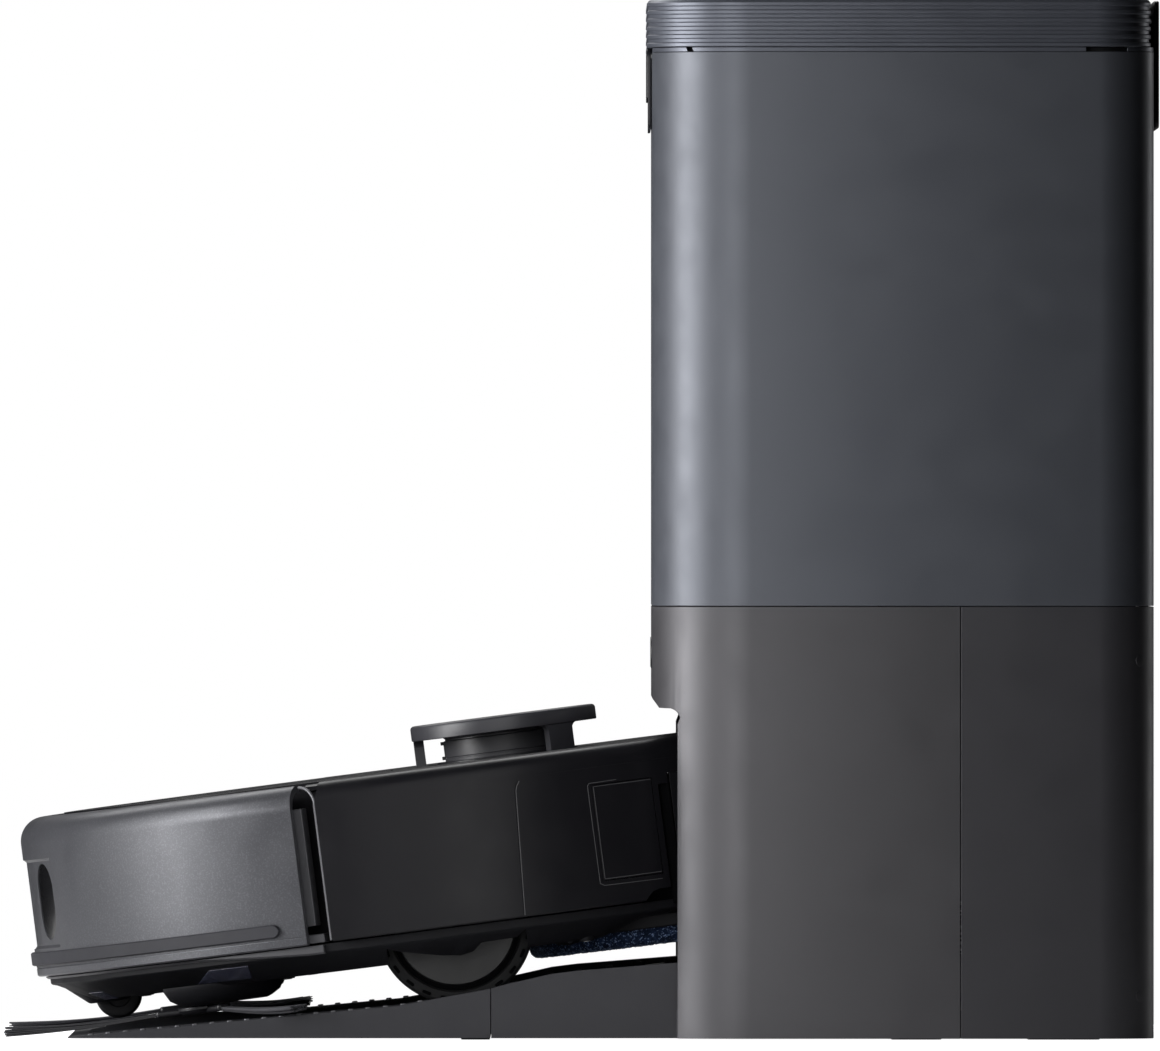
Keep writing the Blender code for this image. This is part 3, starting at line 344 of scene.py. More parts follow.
def turned(profile, steps=96, at=(0.0, 0.0), axis="Z"):
    """Closed (radius, height) profile turned about Z, or laid over so that its axis is Y."""
    bm = bmesh.new()
    rings = []
    for radius, height in profile:
        if radius == 0:
            rings.append([bm.verts.new((0, 0, height))] * steps)
            continue
        rings.append([
            bm.verts.new((*polar(radius, 360 * i / steps), height)) for i in range(steps)
        ])
    for a, b in zip(rings, rings[1:] + rings[:1]):
        for i in range(steps):
            j = (i + 1) % steps
            corners = tuple(dict.fromkeys((a[i], a[j], b[j], b[i])))
            if len(corners) > 2:
                bm.faces.new(corners)
    bmesh.ops.recalc_face_normals(bm, faces=bm.faces)
    if axis == "Y":
        bm.transform(Matrix.Rotation(math.radians(-90), 4, "X"))
        bm.transform(Matrix.Translation((at[0], 0, at[1])))
    else:
        bm.transform(Matrix.Translation((at[0], at[1], 0)))
    return bm


def disc(radius, low, high, at=(0.0, 0.0), steps=64, axis="Z", edge=0.0):
    """Cylinder with rounded rims."""
    if not edge:
        return turned(((0, low), (radius, low), (radius, high), (0, high)), steps, at, axis)
    profile = [(0, low)]
    for angle in (90, 60, 30, 0):
        turn = math.radians(angle)
        profile.append((radius - edge + edge * math.cos(turn), low + edge - edge * math.sin(turn)))
    for angle in (0, 30, 60, 90):
        turn = math.radians(angle)
        profile.append((radius - edge + edge * math.cos(turn), high - edge + edge * math.sin(turn)))
    return turned([*profile, (0, high)], steps, at, axis)


def placed(bm, at, degrees=0.0, axis="Z"):
    """Turns a bmesh about an axis through the origin and moves it."""
    if degrees:
        bm.transform(Matrix.Rotation(math.radians(degrees), 4, axis))
    bm.transform(Matrix.Translation(at))
    return bm


def front_disc(radius, x_low, x_high, y, z, edge=0.0):
    """Round bar along X."""
    return placed(disc(radius, x_low, x_high, edge=edge), (0, y, z), 90, "Y")


def sector(profile, start, end, steps):
    """Closed (radius, height) profile swept round Z from one angle to another, with flat ends."""
    rings = []
    for i in range(steps + 1):
        angle = start + (end - start) * i / steps
        rings.append([(*polar(r, angle), z) for r, z in profile])
    return loft(rings)


def rounded_plan(x0, x1, half, front_radius, rear_radius, steps=16):
    """Plan outline with its front at x0, going round from the rear corner on the -Y side."""
    return (
        arc((x1 - rear_radius, -half + rear_radius), rear_radius, -90, 0, steps)
        + arc((x1 - rear_radius, half - rear_radius), rear_radius, 0, 90, steps)
        + arc((x0 + front_radius, half - front_radius), front_radius, 90, 180, steps)
        + arc((x0 + front_radius, -half + front_radius), front_radius, 180, 270, steps)
    )


def column_plan(inset):
    return rounded_plan(
        FRONT_X + inset, REAR_X - inset, HALF_WIDTH - inset,
        FRONT_RADIUS - inset, REAR_RADIUS - inset,
    )


def lid_plan(inset):
    return rounded_plan(
        LID_FRONT_X + inset, LID_REAR_X - inset, LID_HALF_WIDTH - inset, 41.0 - inset, 22.0 - inset,
    )


def rounded_box(x, y, z, corner, edge=1.0, axis="Z"):
    """Box with rounded corners in the plane across its axis, and softened rims."""
    spans = {"Z": (x, y, z), "Y": (x, z, y), "X": (y, z, x)}[axis]
    place = ACROSS[axis]
    (a0, a1), (b0, b1), (low, high) = spans

    def outline(inset):
        r = max(corner - inset, 0.05)
        return (
            arc((a1 - inset - r, b0 + inset + r), r, -90, 0, 8)
            + arc((a1 - inset - r, b1 - inset - r), r, 0, 90, 8)
            + arc((a0 + inset + r, b1 - inset - r), r, 90, 180, 8)
            + arc((a0 + inset + r, b0 + inset + r), r, 180, 270, 8)
        )

    rings = []
    for angle in (0, 30, 60, 90):
        turn = math.radians(angle)
        rings.append((edge * (1 - math.sin(turn)), low + edge * (1 - math.cos(turn))))
    for angle in (90, 60, 30, 0):
        turn = math.radians(angle)
        rings.append((edge * (1 - math.sin(turn)), high - edge * (1 - math.cos(turn))))
    return loft([[place(a, b, t) for a, b in outline(inset)] for inset, t in rings])


def swept(path, radius, steps=8):
    """Round rod along a path of points, its radius given per point or once."""
    points = [Vector(point) for point in path]
    radii = radius if isinstance(radius, (list, tuple)) else [radius] * len(points)
    rings = []
    side = None
    for i, point in enumerate(points):
        along = (points[min(i + 1, len(points) - 1)] - points[max(i - 1, 0)]).normalized()
        if side is None:
            side = along.orthogonal().normalized()
        side = (side - along * side.dot(along)).normalized()
        up = along.cross(side)
        rings.append([
            tuple(point + radii[i] * (side * math.cos(2 * math.pi * k / steps)
                                      + up * math.sin(2 * math.pi * k / steps)))
            for k in range(steps)
        ])
    return loft(rings)


# ---------------------------------------------------------------- pieces

def shade(bm, smooth_deg=SMOOTH_DEG):
    limit = math.radians(smooth_deg)
    for edge in bm.edges:
        edge.smooth = len(edge.link_faces) == 2 and edge.calc_face_angle(0.0) < limit
    for face in bm.faces:
        face.smooth = True


def stored(name, bm, matrix=STATION, smooth_deg=SMOOTH_DEG):
    """Mesh object in metres, smooth except across edges sharper than smooth_deg."""
    bmesh.ops.remove_doubles(bm, verts=bm.verts, dist=0.001)
    bmesh.ops.recalc_face_normals(bm, faces=bm.faces)
    shade(bm, smooth_deg)
    bm.transform(Matrix.Diagonal((MM, MM, MM, 1)) @ matrix)
    mesh = bpy.data.meshes.new(name)
    bm.to_mesh(mesh)
    bm.free()
    obj = bpy.data.objects.new(name, mesh)
    bpy.context.scene.collection.objects.link(obj)
    return obj


def cut(obj, *cutters, matrix=STATION, operation="DIFFERENCE"):
    """Cuts each bmesh from the object and keeps the result as its mesh."""
    for bm in cutters:
        tool = stored("cutter", bm, matrix)
        modifier = obj.modifiers.new("cut", "BOOLEAN")
        modifier.operation = operation
        modifier.solver = "EXACT"
        modifier.object = tool
        bpy.context.view_layer.update()
        graph = bpy.context.evaluated_depsgraph_get()
        made = bpy.data.meshes.new_from_object(obj.evaluated_get(graph))
        obj.modifiers.remove(modifier)
        obj.data = made
        bpy.data.objects.remove(tool)
    shaped = bmesh.new()
    shaped.from_mesh(obj.data)
    bmesh.ops.dissolve_degenerate(shaped, dist=0.00001, edges=shaped.edges)
    shade(shaped)
    shaped.to_mesh(obj.data)
    shaped.free()


def piece(obj, body, mat, nodes=(), bevel=0.35, segments=2):
    """Finishes a visual piece: material, soft edges, the body that it rides on, the nodes it shows."""
    obj.data.materials.clear()
    obj.data.materials.append(MATERIALS[mat])
    if bevel:
        soft = obj.modifiers.new("soft_edges", "BEVEL")
        soft.width = bevel * MM
        soft.segments = segments
        soft.limit_method = "ANGLE"
        soft.angle_limit = math.radians(35)
        soft.use_clamp_overlap = True
        soft.harden_normals = True
    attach(obj, body)
    if nodes:
        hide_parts(*nodes)
    return obj


# ---------------------------------------------------------------- station


def build_shells():
    """Lower shell, bay lining, start button, rear cover, screw plugs and power inlet."""
    top = WAIST_Z - GAP / 2
    lower = stored("lower_shell_skin", ringed(
        (column_plan(0), BASE_Z), (column_plan(0), top), (column_plan(3.0), top),
        (column_plan(3.0), BASE_Z),
    ))
    mouth = [(0.0, -5.0), (39.3, -5.0), (39.3, 127.3)]
    mouth += arc((35.2, 128.6), 5.3, 15, 75, 10)
    mouth += [(32.0, 133.9), (FRONT_X, MOUTH_Z), (0.0, MOUTH_Z)]
    cut(
        lower,
        block((SHELL_SEAM_X - GAP / 2, 240.0), FULL_DEPTH, (-5.0, 200.0)),
        prism(mouth, -200.0, 200.0, "Y"),
        front_disc(7.0, 20.0, 40.0, 0.0, START_BUTTON_Z),
    )
    piece(lower, "station", "lower", ["lower_shell"], bevel=0.25)

    lining = stored("bay_side_lining", ringed(
        (column_plan(3.1), 12.6), (column_plan(3.1), MOUTH_Z - 0.4),
        (column_plan(LOWER_WALL), MOUTH_Z - 0.4), (column_plan(LOWER_WALL), 12.6),
    ))
    cut(
        lining,
        block((130.6, 240.0), FULL_DEPTH, (-5.0, 200.0)),
        block((0.0, 41.0), FULL_DEPTH, (-5.0, 200.0)),
    )
    piece(lining, "station", "inner", bevel=0.3)

    button = stored("start_button_cap", front_disc(6.6, 28.6, 36.5, 0.0, START_BUTTON_Z, edge=0.8))
    cut(button, front_disc(4.6, 27.0, 28.85, 0.0, START_BUTTON_Z))
    piece(button, "start_button", "dark", ["station_button"], bevel=0.15)

    rear = stored("rear_cover_skin", ringed(
        (column_plan(0), BASE_Z), (column_plan(0), top), (column_plan(UPPER_WALL), top),
        (column_plan(UPPER_WALL), BASE_Z),
    ))
    cut(
        rear,
        block((0.0, SHELL_SEAM_X + GAP / 2), FULL_DEPTH, (-5.0, 200.0)),
        rounded_box((220.0, 240.0), (-128.5, -101.5), (21.5, 48.5), 3.0, 0.1, "X"),
    )
    piece(rear, "station", "lower_rear", ["rear_lower_cover"], bevel=0.25)

    angle = math.degrees(math.acos((225.8 - 209.5) / REAR_RADIUS))
    for side in (-1, 1):
        for tag, z in (("high", 153.1), ("low", 17.8)):
            plug = front_disc(2.4, -0.8, 0.12, 0.0, 0.0, edge=0.1)
            x, y = polar(REAR_RADIUS, side * angle, (REAR_X - REAR_RADIUS, side * 153.0))
            placed(plug, (x, y, z), side * angle)
            tail = SIDE_NAME[side]
            piece(stored(f"screw_plug_{tag}_{tail}", plug), "station", "lower_rear",
                  bevel=0)

    inlet = stored("power_inlet_socket", rounded_box(
        (214.0, 231.1), (-128.0, -102.0), (22.0, 48.0), 2.6, 0.4, "X"))
    cut(inlet, rounded_box((219.0, 240.0), (-124.5, -105.5), (28.0, 42.0), 4.0, 0.1, "X"))
    piece(inlet, "station", "dark", ["power_inlet"], bevel=0.2)
    for tag, y in (("a", -118.5), ("b", -111.5)):
        pin = front_disc(1.2, 218.0, 228.0, y, 35.0, edge=0.5)
        piece(stored("inlet_pin_" + tag, pin), "station", "steel", bevel=0)


def build_upper():
    """Upper shell, dust-bag door, and the seat and liner under the lid."""
    low = WAIST_Z + GAP / 2
    shell = stored("upper_shell_skin", ringed(
        (column_plan(0), low), (column_plan(0), RIM_Z), (column_plan(UPPER_WALL), RIM_Z),
        (column_plan(UPPER_WALL), low),
    ))
    side = DOOR_HALF + GAP
    vents = joined(*(
        block((220.0, 240.0), (-60.0, 60.0), (184.0 + 3.58 * i, 185.8 + 3.58 * i))
        for i in range(23)
    ))
    cut(
        shell,
        rounded_box((20.0, 40.0), (-side, side), (DOOR_LOW - GAP, DOOR_HIGH + GAP), 2.0, 0.1, "X"),
        vents,
    )
    piece(shell, "station", "upper", ["upper_shell"], bevel=0.25)

    door = stored("dust_bag_door_panel", rounded_box(
        (FRONT_X, FRONT_X + UPPER_WALL), (-DOOR_HALF, DOOR_HALF), (DOOR_LOW, DOOR_HIGH),
        1.8, 0.35, "X"))
    cut(door, rounded_box((FRONT_X - 2, FRONT_X + 1.6), (-DOOR_HALF + 3, -DOOR_HALF + 9),
                          (262.0, 286.0), 2.8, 0.2, "X"))
    piece(door, "bag_door", "upper", ["dust_bag_door"], bevel=0)

    seat = stored("lid_seat", ringed(
        (column_plan(0.15), RIM_Z + 0.15), (column_plan(0.15), LID_BOTTOM_Z - 0.25),
        (column_plan(2.6), LID_BOTTOM_Z - 0.25), (column_plan(2.6), RIM_Z + 0.15),
    ))
    notch = [(42.2, 402.0), (44.6, 402.0), (46.4, 397.0), (44.0, 397.0)]
    cut(
        seat,
        prism(notch, -180.0, 180.0, "Y"),
        block((204.0, 220.6), (-180.0, 180.0), (390.0, 410.0)),
    )
    piece(seat, "station", "lid", bevel=0.15)
    liner = stored("rim_liner", ringed(
        (column_plan(2.8), RIM_Z - 6.0), (column_plan(2.8), LID_BOTTOM_Z - 0.3),
        (column_plan(4.4), LID_BOTTOM_Z - 0.3), (column_plan(4.4), RIM_Z - 6.0),
    ))
    piece(liner, "station", "inner", bevel=0.2)


def build_lid():
    """Lid whose side carries shallow ribs, the plate at its front and the cover of its hinge."""
    ribs, depth = 5.5, 0.7
    height = LID_TOP_Z - LID_BOTTOM_Z - 1.2
    pitch = height / ribs
    plans = [(lid_plan(3.4), LID_TOP_Z - 2.2), (lid_plan(3.4), LID_BOTTOM_Z)]
    z = LID_BOTTOM_Z
    for i in range(6):
        crest_end = z + pitch * 0.5
        plans += [(lid_plan(0.25), z), (lid_plan(0.0), z + 0.25)]
        plans += [(lid_plan(0.0), crest_end - 0.25), (lid_plan(0.25), crest_end)]
        if i < 5:
            plans += [(lid_plan(depth), crest_end + 0.2), (lid_plan(depth), z + pitch - 0.2)]
        z += pitch
    z = LID_TOP_Z - 0.95
    for angle in (20, 45, 70, 90):
        turn = math.radians(angle)
        plans.append((lid_plan(2.0 - 1.75 * math.cos(turn) + 0.25), z + 0.95 * math.sin(turn)))
    lid = stored("station_lid_shell", levels(*plans))
    cut(lid, *(
        block((220.0, 240.0), (y - 4.5, y + 4.5), (395.0, 417.0)) for y in (-70.0, 70.0)
    ))
    piece(lid, "station_lid", "lid", ["station_lid"], bevel=0)
    panel = rounded_box((46.0, 212.0), (-158.0, 158.0), (418.5, LID_TOP_Z - 0.02), 26.0, 0.5)
    piece(stored("lid_top_inlay", panel), "station_lid", "lid", bevel=0)

    tab = stored("lid_front_plate", rounded_box(
        (LID_FRONT_X, FRONT_X - GAP), (-110.0, 110.0), (368.0, LID_BOTTOM_Z - GAP), 4.0, 0.4, "X"))
    cut(tab, block((LID_FRONT_X - 1, LID_FRONT_X + 0.7), (-111.0, 111.0), (360.0, 380.5)))
    piece(tab, "station_lid", "dark", ["lid_front_tab"], bevel=0.15)

    cover = stored("hinge_cover_plate", rounded_box(
        (REAR_X + GAP, 234.1), (-120.0, 120.0), (368.0, LID_TOP_Z - 0.2), 4.0, 0.7, "X"))
    piece(cover, "station", "dark", ["lid_hinge_cover"], bevel=0)
    rings = [disc(1.7, -73.0, 73.0, HINGE_AT, 32, "Y", 0.4)]
    for y in (-70.0, 70.0):
        lug = [(227.7, RIM_Z + GAP), *arc(HINGE_AT, 2.7, 0, 180, 16), (222.3, RIM_Z + GAP)]
        rings.append(prism(lug, y - 3.0, y + 3.0, "Y"))
    piece(stored("hinge_pin_and_lugs", joined(*rings)), "station", "steel",
          ["lid_hinge_pin"], bevel=0.3)


def track_cutters():
    """Recesses for the two driving wheels, sunk below the side edge's line."""
    floor = [(x, max(z - TRACK_DEPTH, 1.2)) for x, z in TRACK_LINE]
    outline = [*floor, (TRACK_LINE[-1][0], 60.0), (TRACK_LINE[0][0], 60.0)]
    return [prism(outline, *side, "Y") for side in (
        (-TRACK_OUTER, -TRACK_INNER), (TRACK_INNER, TRACK_OUTER),
    )]


def height_on(line, x):
    for (x0, z0), (x1, z1) in zip(line, line[1:]):
        if x0 <= x <= x1:
            return z0 + (z1 - z0) * (x - x0) / (x1 - x0)
    return line[0][1] if x < line[0][0] else line[-1][1]


def stud(x, y, z, slope_deg, length=2.6, width=4.4, rise=0.8):
    """Small domed grip stud standing on the ramp."""
    bm = rounded_box((-length / 2, length / 2), (-width / 2, width / 2), (-0.6, rise), 0.9, 0.5)
    return placed(bm, (x, y, z), -slope_deg, "Y")


def edge_solid(points, low, half):
    """The ramp's side outline pushed across it."""
    outline = [(points[0][0], low), (points[-1][0], low), *reversed(points)]
    return prism(outline, -half, half, "Y")


def build_ramp():
    seam = RAMP_SEAM_X - GAP / 2
    ramp = stored("ramp_skin", edge_solid([*RAMP_EDGE[:-1], (seam, RAMP_EDGE[-1][1])],
                                          BASE_Z, RAMP_HALF))
    cut(ramp, *track_cutters())
    piece(ramp, "station", "ramp", ["ramp_plate"], bevel=0.45, segments=3)

    hump_line = ((-199.5, 2.0), (-190.0, 4.3), (-179.0, 6.3), (-163.0, 8.0), (-146.6, 9.4),
                 (-120.0, 10.6), (-104.0, 11.4))
    plans = []
    for y, share in ((-64, 0.0), (-56, 0.25), (-44, 0.75), (-30, 1.0), (0, 1.0), (30, 1.0),
                     (44, 0.75), (56, 0.25), (64, 0.0)):
        ring = []
        for x, top in hump_line:
            ground = height_on(RAMP_EDGE, x)
            ring.append((x, y, ground + 0.02 + (top - ground) * share))
        ring += [(x, y, height_on(RAMP_EDGE, x) - 0.4) for x, _ in reversed(hump_line)]
        plans.append(ring)
    piece(stored("ramp_centre_pad", loft(plans)), "station", "dark", bevel=0)

    studs, tips = [], []
    for side in (-1, 1):
        for i in range(22):
            x = -197.4 + 7.0 * i
            slope = math.degrees(math.atan2(12.7, 133.3))
            if x < -61:
                tips.append(stud(x, side * 148.5, height_on(RAMP_EDGE, x), slope, 2.4, 2.0, 0.6))
        for i in range(26):
            x = -186.0 + 5.6 * i
            if x < -42:
                z = max(height_on(TRACK_LINE, x) - TRACK_DEPTH, 1.2)
                for y in (109.0, 121.0, 133.0):
                    studs.append(stud(x, side * y, z, 5.0, 1.8, 7.0, 0.7))
    piece(stored("ramp_grip_studs", joined(*studs)), "station", "ramp", bevel=0)
    # Edge studs coloured light grey: painted glints on the black studs.
    piece(stored("ramp_edge_studs_painted_glint", joined(*tips)), "station", "edge_glint_paint", bevel=0)

    base_edge = [(RAMP_SEAM_X + GAP / 2, BASE_EDGE[0][1]), *BASE_EDGE[1:], (128.0, 31.0)]
    base = stored("dock_base_skin", edge_solid(base_edge, BASE_Z, RAMP_HALF))
    cut(base, prism(column_plan(LOWER_WALL + GAP), BASE_Z + 0.05, 12.0), operation="UNION")
    cut(base, *track_cutters())
    basin = rounded_box((22.0, 158.0), (-139.0, 139.0), (-30.8, 30.0), 14.0, 0.2)
    cut(base, basin, matrix=ROBOT)
    piece(base, "station", "ramp", ["dock_base"], bevel=0.35)

    for name, x in (("foot_front", (-48.0, -36.4)), ("foot_middle", (125.6, 145.8)),
                    ("foot_rear", (180.6, 209.7))):
        foot = rounded_box(x, (-150.0, 150.0), (0.0, BASE_Z - 0.1), 3.0, 0.15)
        piece(stored(name + "_pad", foot), "station", "rubber", [name], bevel=0)

    tray = rounded_box((23.0, 157.0), (-138.0, 138.0), (-30.5, -28.4), 13.0, 0.3)
    ribs = [rounded_box((34.0 + 12.0 * i, 37.0 + 12.0 * i), (-128.0, 128.0), (-28.8, -26.4),
                        1.4, 0.7) for i in range(10)]
    nozzles = [disc(3.4, -28.8, -27.0, (88.0, y), 32, edge=0.6) for y in (-66.0, 66.0)]
    piece(stored("wash_tray_ribbed", joined(tray, *ribs, *nozzles), ROBOT), "station", "inner",
          ["wash_tray"], bevel=0)


def build_bay():
    roof = stored("bay_lining", prism(column_plan(LOWER_WALL + GAP), MOUTH_Z, 141.0))
    cut(roof, rounded_box((57.0, 93.0), (-20.0, 20.0), (130.0, 150.0), 4.0, 0.2))
    wall = rounded_box((131.0, 134.0), (-169.4, 169.4), (12.4, 140.6), 6.0, 0.5, "X")
    cut(roof, wall, operation="UNION")
    pockets = joined(*(
        rounded_box((120.0, 140.0), (y - 7.4, y + 7.4), (77.6, 106.4), 3.0, 0.2, "X")
        for y in (-CONTACT_Y, CONTACT_Y)
    ))
    cut(roof, pockets)
    piece(roof, "station", "inner", ["bay_liner"], bevel=0.4)
    ribs = [rounded_box((128.9, 131.4), (y - 0.8, y + 0.8), (40.0, 134.0), 0.7, 0.4, "X")
            for y in range(-150, 151, 20) if abs(y) != 30]
    piece(stored("bay_wall_ribs", joined(*ribs)), "station", "inner", bevel=0)
    for side, y in (("left", CONTACT_Y), ("right", -CONTACT_Y)):
        pad = rounded_box((119.0, 137.0), (y - 7.0, y + 7.0), (78.0, 106.0), 2.6, 1.0, "X")
        piece(stored("charge_contact_" + side + "_plate", pad), "charge_contact_" + side,
              "contact", ["contact_" + side], bevel=0)
    outer = rounded_plan(56.0, 94.0, 21.0, 4.0, 4.0, 8)
    inner = rounded_plan(58.0, 92.0, 19.0, 3.0, 3.0, 8)
    lip = rounded_plan(54.6, 95.4, 22.4, 5.0, 5.0, 8)
    duct = ringed((outer, 141.3), (outer, 183.0), (lip, 184.0), (lip, 187.0), (inner, 187.0),
                  (inner, 141.3))
    piece(stored("dust_duct_tube", duct), "station", "inner", ["dust_duct"],
          bevel=0.3)


def build_tanks():
    low, high = 141.3, 392.0
    for name, side, look in (("clean_tank", 1, "clean"), ("dirty_tank", -1, "dirty")):
        def plan(inset, side=side):
            points = rounded_plan(120.0 + inset, 226.0 - inset, 60.5 - inset, 8.0 - inset,
                                  18.0 - inset, 10)
            return [(x, y + side * TANK_Y) for x, y in points]

        outside = [(plan(2.4), low), (plan(0.4), low + 1.6), (plan(0.0), low + 4.0)]
        for z in (200.0, 270.0, 330.0):
            outside += [(plan(0.0), z), (plan(0.9), z + 1.0), (plan(0.9), z + 3.0),
                        (plan(0.0), z + 4.0)]
        outside += [(plan(0.0), high - 8.0), (plan(-0.8), high - 7.0), (plan(-0.8), high - 0.6),
                    (plan(-0.2), high)]
        inside = [(plan(2.0), high), (plan(2.4), high - 2.0), (plan(2.4), low + 6.0),
                  (plan(5.4), low + 3.0)]
        piece(stored(name + "_body", levels(*outside, *inside)), "station", look, [name],
              bevel=0)
        y = side * TANK_Y
        bar = rounded_box((120.6, 225.4), (y - 9.0, y + 9.0), (high - 7.0, high - 1.0), 2.0, 1.2)
        piece(stored(name + "_handle", bar), "station", "dark", bevel=0)
    motor = turned(((0, 142), (33, 142), (34.6, 143.6), (35.2, 147), (37, 149), (37, 160),
                    (36, 161), (36, 163), (37, 164), (37, 214), (36, 215), (36, 217), (37, 218),
                    (37, 221), (35, 224), (25.5, 232.5), (24, 235), (24, 254.5), (22.5, 256),
                    (17, 256), (17, 250), (0, 250)), 96, (170.0, 0.0))
    piece(stored("suction_motor_can", motor), "station", "steel",
          ["suction_motor"], bevel=0.3)
    bag = rounded_box((40.0, 112.0), (-88.0, 88.0), (190.0, 346.0), 18.0, 9.0)
    for vert in bag.verts:
        swell = 1.0 - 0.05 * math.sin(vert.co.z * 0.16) * abs(math.cos(vert.co.y * 0.07))
        vert.co.x = 76.0 + (vert.co.x - 76.0) * min(1.0, swell)
    sack = piece(stored("dust_bag_sack", bag), "station", "bag", ["dust_bag"],
                 bevel=0)
    collar = rounded_box((52.0, 98.0), (-30.0, 30.0), (187.4, 190.6), 5.0, 0.6)
    piece(stored("dust_bag_collar", collar), "station", "dark", bevel=0)


# ---------------------------------------------------------------- robot

def band(inner, outer, low, high):
    return [(inner, low), (outer, low), (outer, high), (inner, high)]


def wall_point(x, z, side=-1, radius=BODY_R):
    """Point on the robot's round wall at that distance from its middle, on one side."""
    return x, side * math.sqrt(radius * radius - x * x), z


def wall_path(points, side=-1, radius=BODY_R, step=2.0):
    """Line over the round wall through (x, z) points."""
    path = []
    for (x0, z0), (x1, z1) in zip(points, points[1:]):
        count = max(1, int(math.hypot(x1 - x0, z1 - z0) / step))
        path += [wall_point(x0 + (x1 - x0) * i / count, z0 + (z1 - z0) * i / count, side, radius)
                 for i in range(count)]
    path.append(wall_point(*points[-1], side, radius))
    return path


def cliff_window(side):
    """Dark glass of a floor sensor on the sloping edge of the underside, one end slanted."""
    rings = []
    for i in range(13):
        t = i / 12
        low, high = 123.1 + 10.4 * t, 121.4 + 6.9 * t
        rings.append([(*polar(r, side * a), z) for r, a, z in (
            (154.3, low, -10.9), (163.2, high, -5.9), (162.6, high, -5.0), (153.7, low, -10.0))])
    return loft(rings)


def dome(at, radius):
    bm = bmesh.new()
    bmesh.ops.create_uvsphere(bm, u_segments=24, v_segments=16, radius=radius)
    bm.transform(Matrix.Translation(at))
    return bm


def build_chassis():
    profile = (
        (0, -12.5), (150, -12.5), (152.0, -11.6), (164, -5.0), (166.0, -4.4), (166.6, -3.8),
        (166.6, -0.7), (160, -0.7), (148, -9.5), (0, -9.5),
    )
    base = stored("chassis_pan", turned(profile, 180), ROBOT)
    rise = ((55.0, -13.5), (75.0, -6.4), (180.0, -6.4), (180.0, -30.0), (55.0, -30.0))
    cut(
        base,
        prism(rise, -180.0, 180.0, "Y"),
        *(disc(63.5, -30.0, 0.0, (MOP_X, side * MOP_Y), 96) for side in (-1, 1)),
        joined(*(rounded_box((-35.0, 35.0), sorted((side * 101.0, side * 135.0)), (-30.0, 3.0),
                             8.0, 0.1) for side in (-1, 1))),
        rounded_box((ROLLER_X - 22.5, ROLLER_X + 22.5), (-93.0, 93.0), (-30.0, 3.0), 4.0, 0.1),
        disc(21.0, -30.0, 3.0, (CASTER_SWIVEL_X, 0.0), 64),
        matrix=ROBOT,
    )
    outline = ((FENDER_EDGE[0][0], -30.0), (FENDER_EDGE[-1][0], -30.0), *reversed(FENDER_EDGE))
    cut(base, *(prism(outline, *sorted((side * 134.0, side * 190.0)), "Y") for side in (-1, 1)),
        matrix=ROBOT)
    piece(base, "robot", "chassis", ["chassis"], bevel=0.4)

    deck = levels(([polar(157.0, a) for a in range(0, 360, 3)], -3.4),
                  ([polar(157.0, a) for a in range(0, 360, 3)], -2.2))
    ceiling = stored("chassis_deck", deck, ROBOT)
    cut(ceiling, joined(
        *(rounded_box((-35.0, 35.0), sorted((side * 101.0, side * 135.0)), (-30.0, 3.0), 8.0, 0.1)
          for side in (-1, 1)),
        rounded_box((ROLLER_X - 22.5, ROLLER_X + 22.5), (-93.0, 93.0), (-30.0, 3.0), 4.0, 0.1),
        disc(20.8, -30.0, 3.0, (CASTER_SWIVEL_X, 0.0), 64),
        *(disc(8.0, -30.0, 3.0, (MOP_X, side * MOP_Y), 48) for side in (-1, 1)),
        rounded_box((71.2, 106.8), (-84.8, 84.8), (-3.15, 3.0), 6.4, 0.1),
    ), matrix=ROBOT)
    piece(ceiling, "robot", "chassis", bevel=0.3)


def build_underside():
    """Rims of the mop wells, brush housings, bosses, screws and floor sensors."""
    details = []
    for side in (-1, 1):
        ring = turned(((63.5, -10.2), (67.0, -11.4), (67.5, -10.8), (67.5, -4.0), (63.5, -4.0)),
                      120, (MOP_X, side * MOP_Y))
        keep = [v for v in ring.verts if math.hypot(v.co.x, v.co.y) > 165.0]
        for vert in keep:
            length = math.hypot(vert.co.x, vert.co.y)
            vert.co.x *= 165.0 / length
            vert.co.y *= 165.0 / length
        details.append(ring)
        housing = ((0, -11.0), (24.8, -11.0), (24.8, -12.4), (22.5, -16.5), (19.0, -18.6),
                   (17.0, -19.4), (0, -19.4))
        details.append(turned(housing, 90, (BRUSH_X + 10.0, side * BRUSH_Y)))
        for x, y in BOSSES:
            details.append(disc(3.2, -13.1, -11.0, (x, side * y), 40, edge=0.4))
    piece(stored("chassis_bosses", joined(*details), ROBOT), "robot", "chassis",
          bevel=0.25)

    screws, lenses = [], []
    for side in (-1, 1):
        for x, y in BOSSES:
            head = disc(2.0, -13.35, -12.6, (x, side * y), 32, edge=0.25)
            screws.append(head)
        lenses.append(cliff_window(side))
        screws.append(dome((-108.5, side * 104.6, -10.9), 1.5))
    for angle in (162.0, 198.0):
        lenses.append(sector([(150.0, -12.9), (156.5, -9.4), (156.0, -8.4), (149.4, -11.8)],
                             angle - 3.4, angle + 3.4, 6))
    piece(stored("chassis_screws", joined(*screws), ROBOT), "robot", "steel", bevel=0)
    piece(stored("cliff_sensors", joined(*lenses), ROBOT), "robot", "sensor", bevel=0.2)


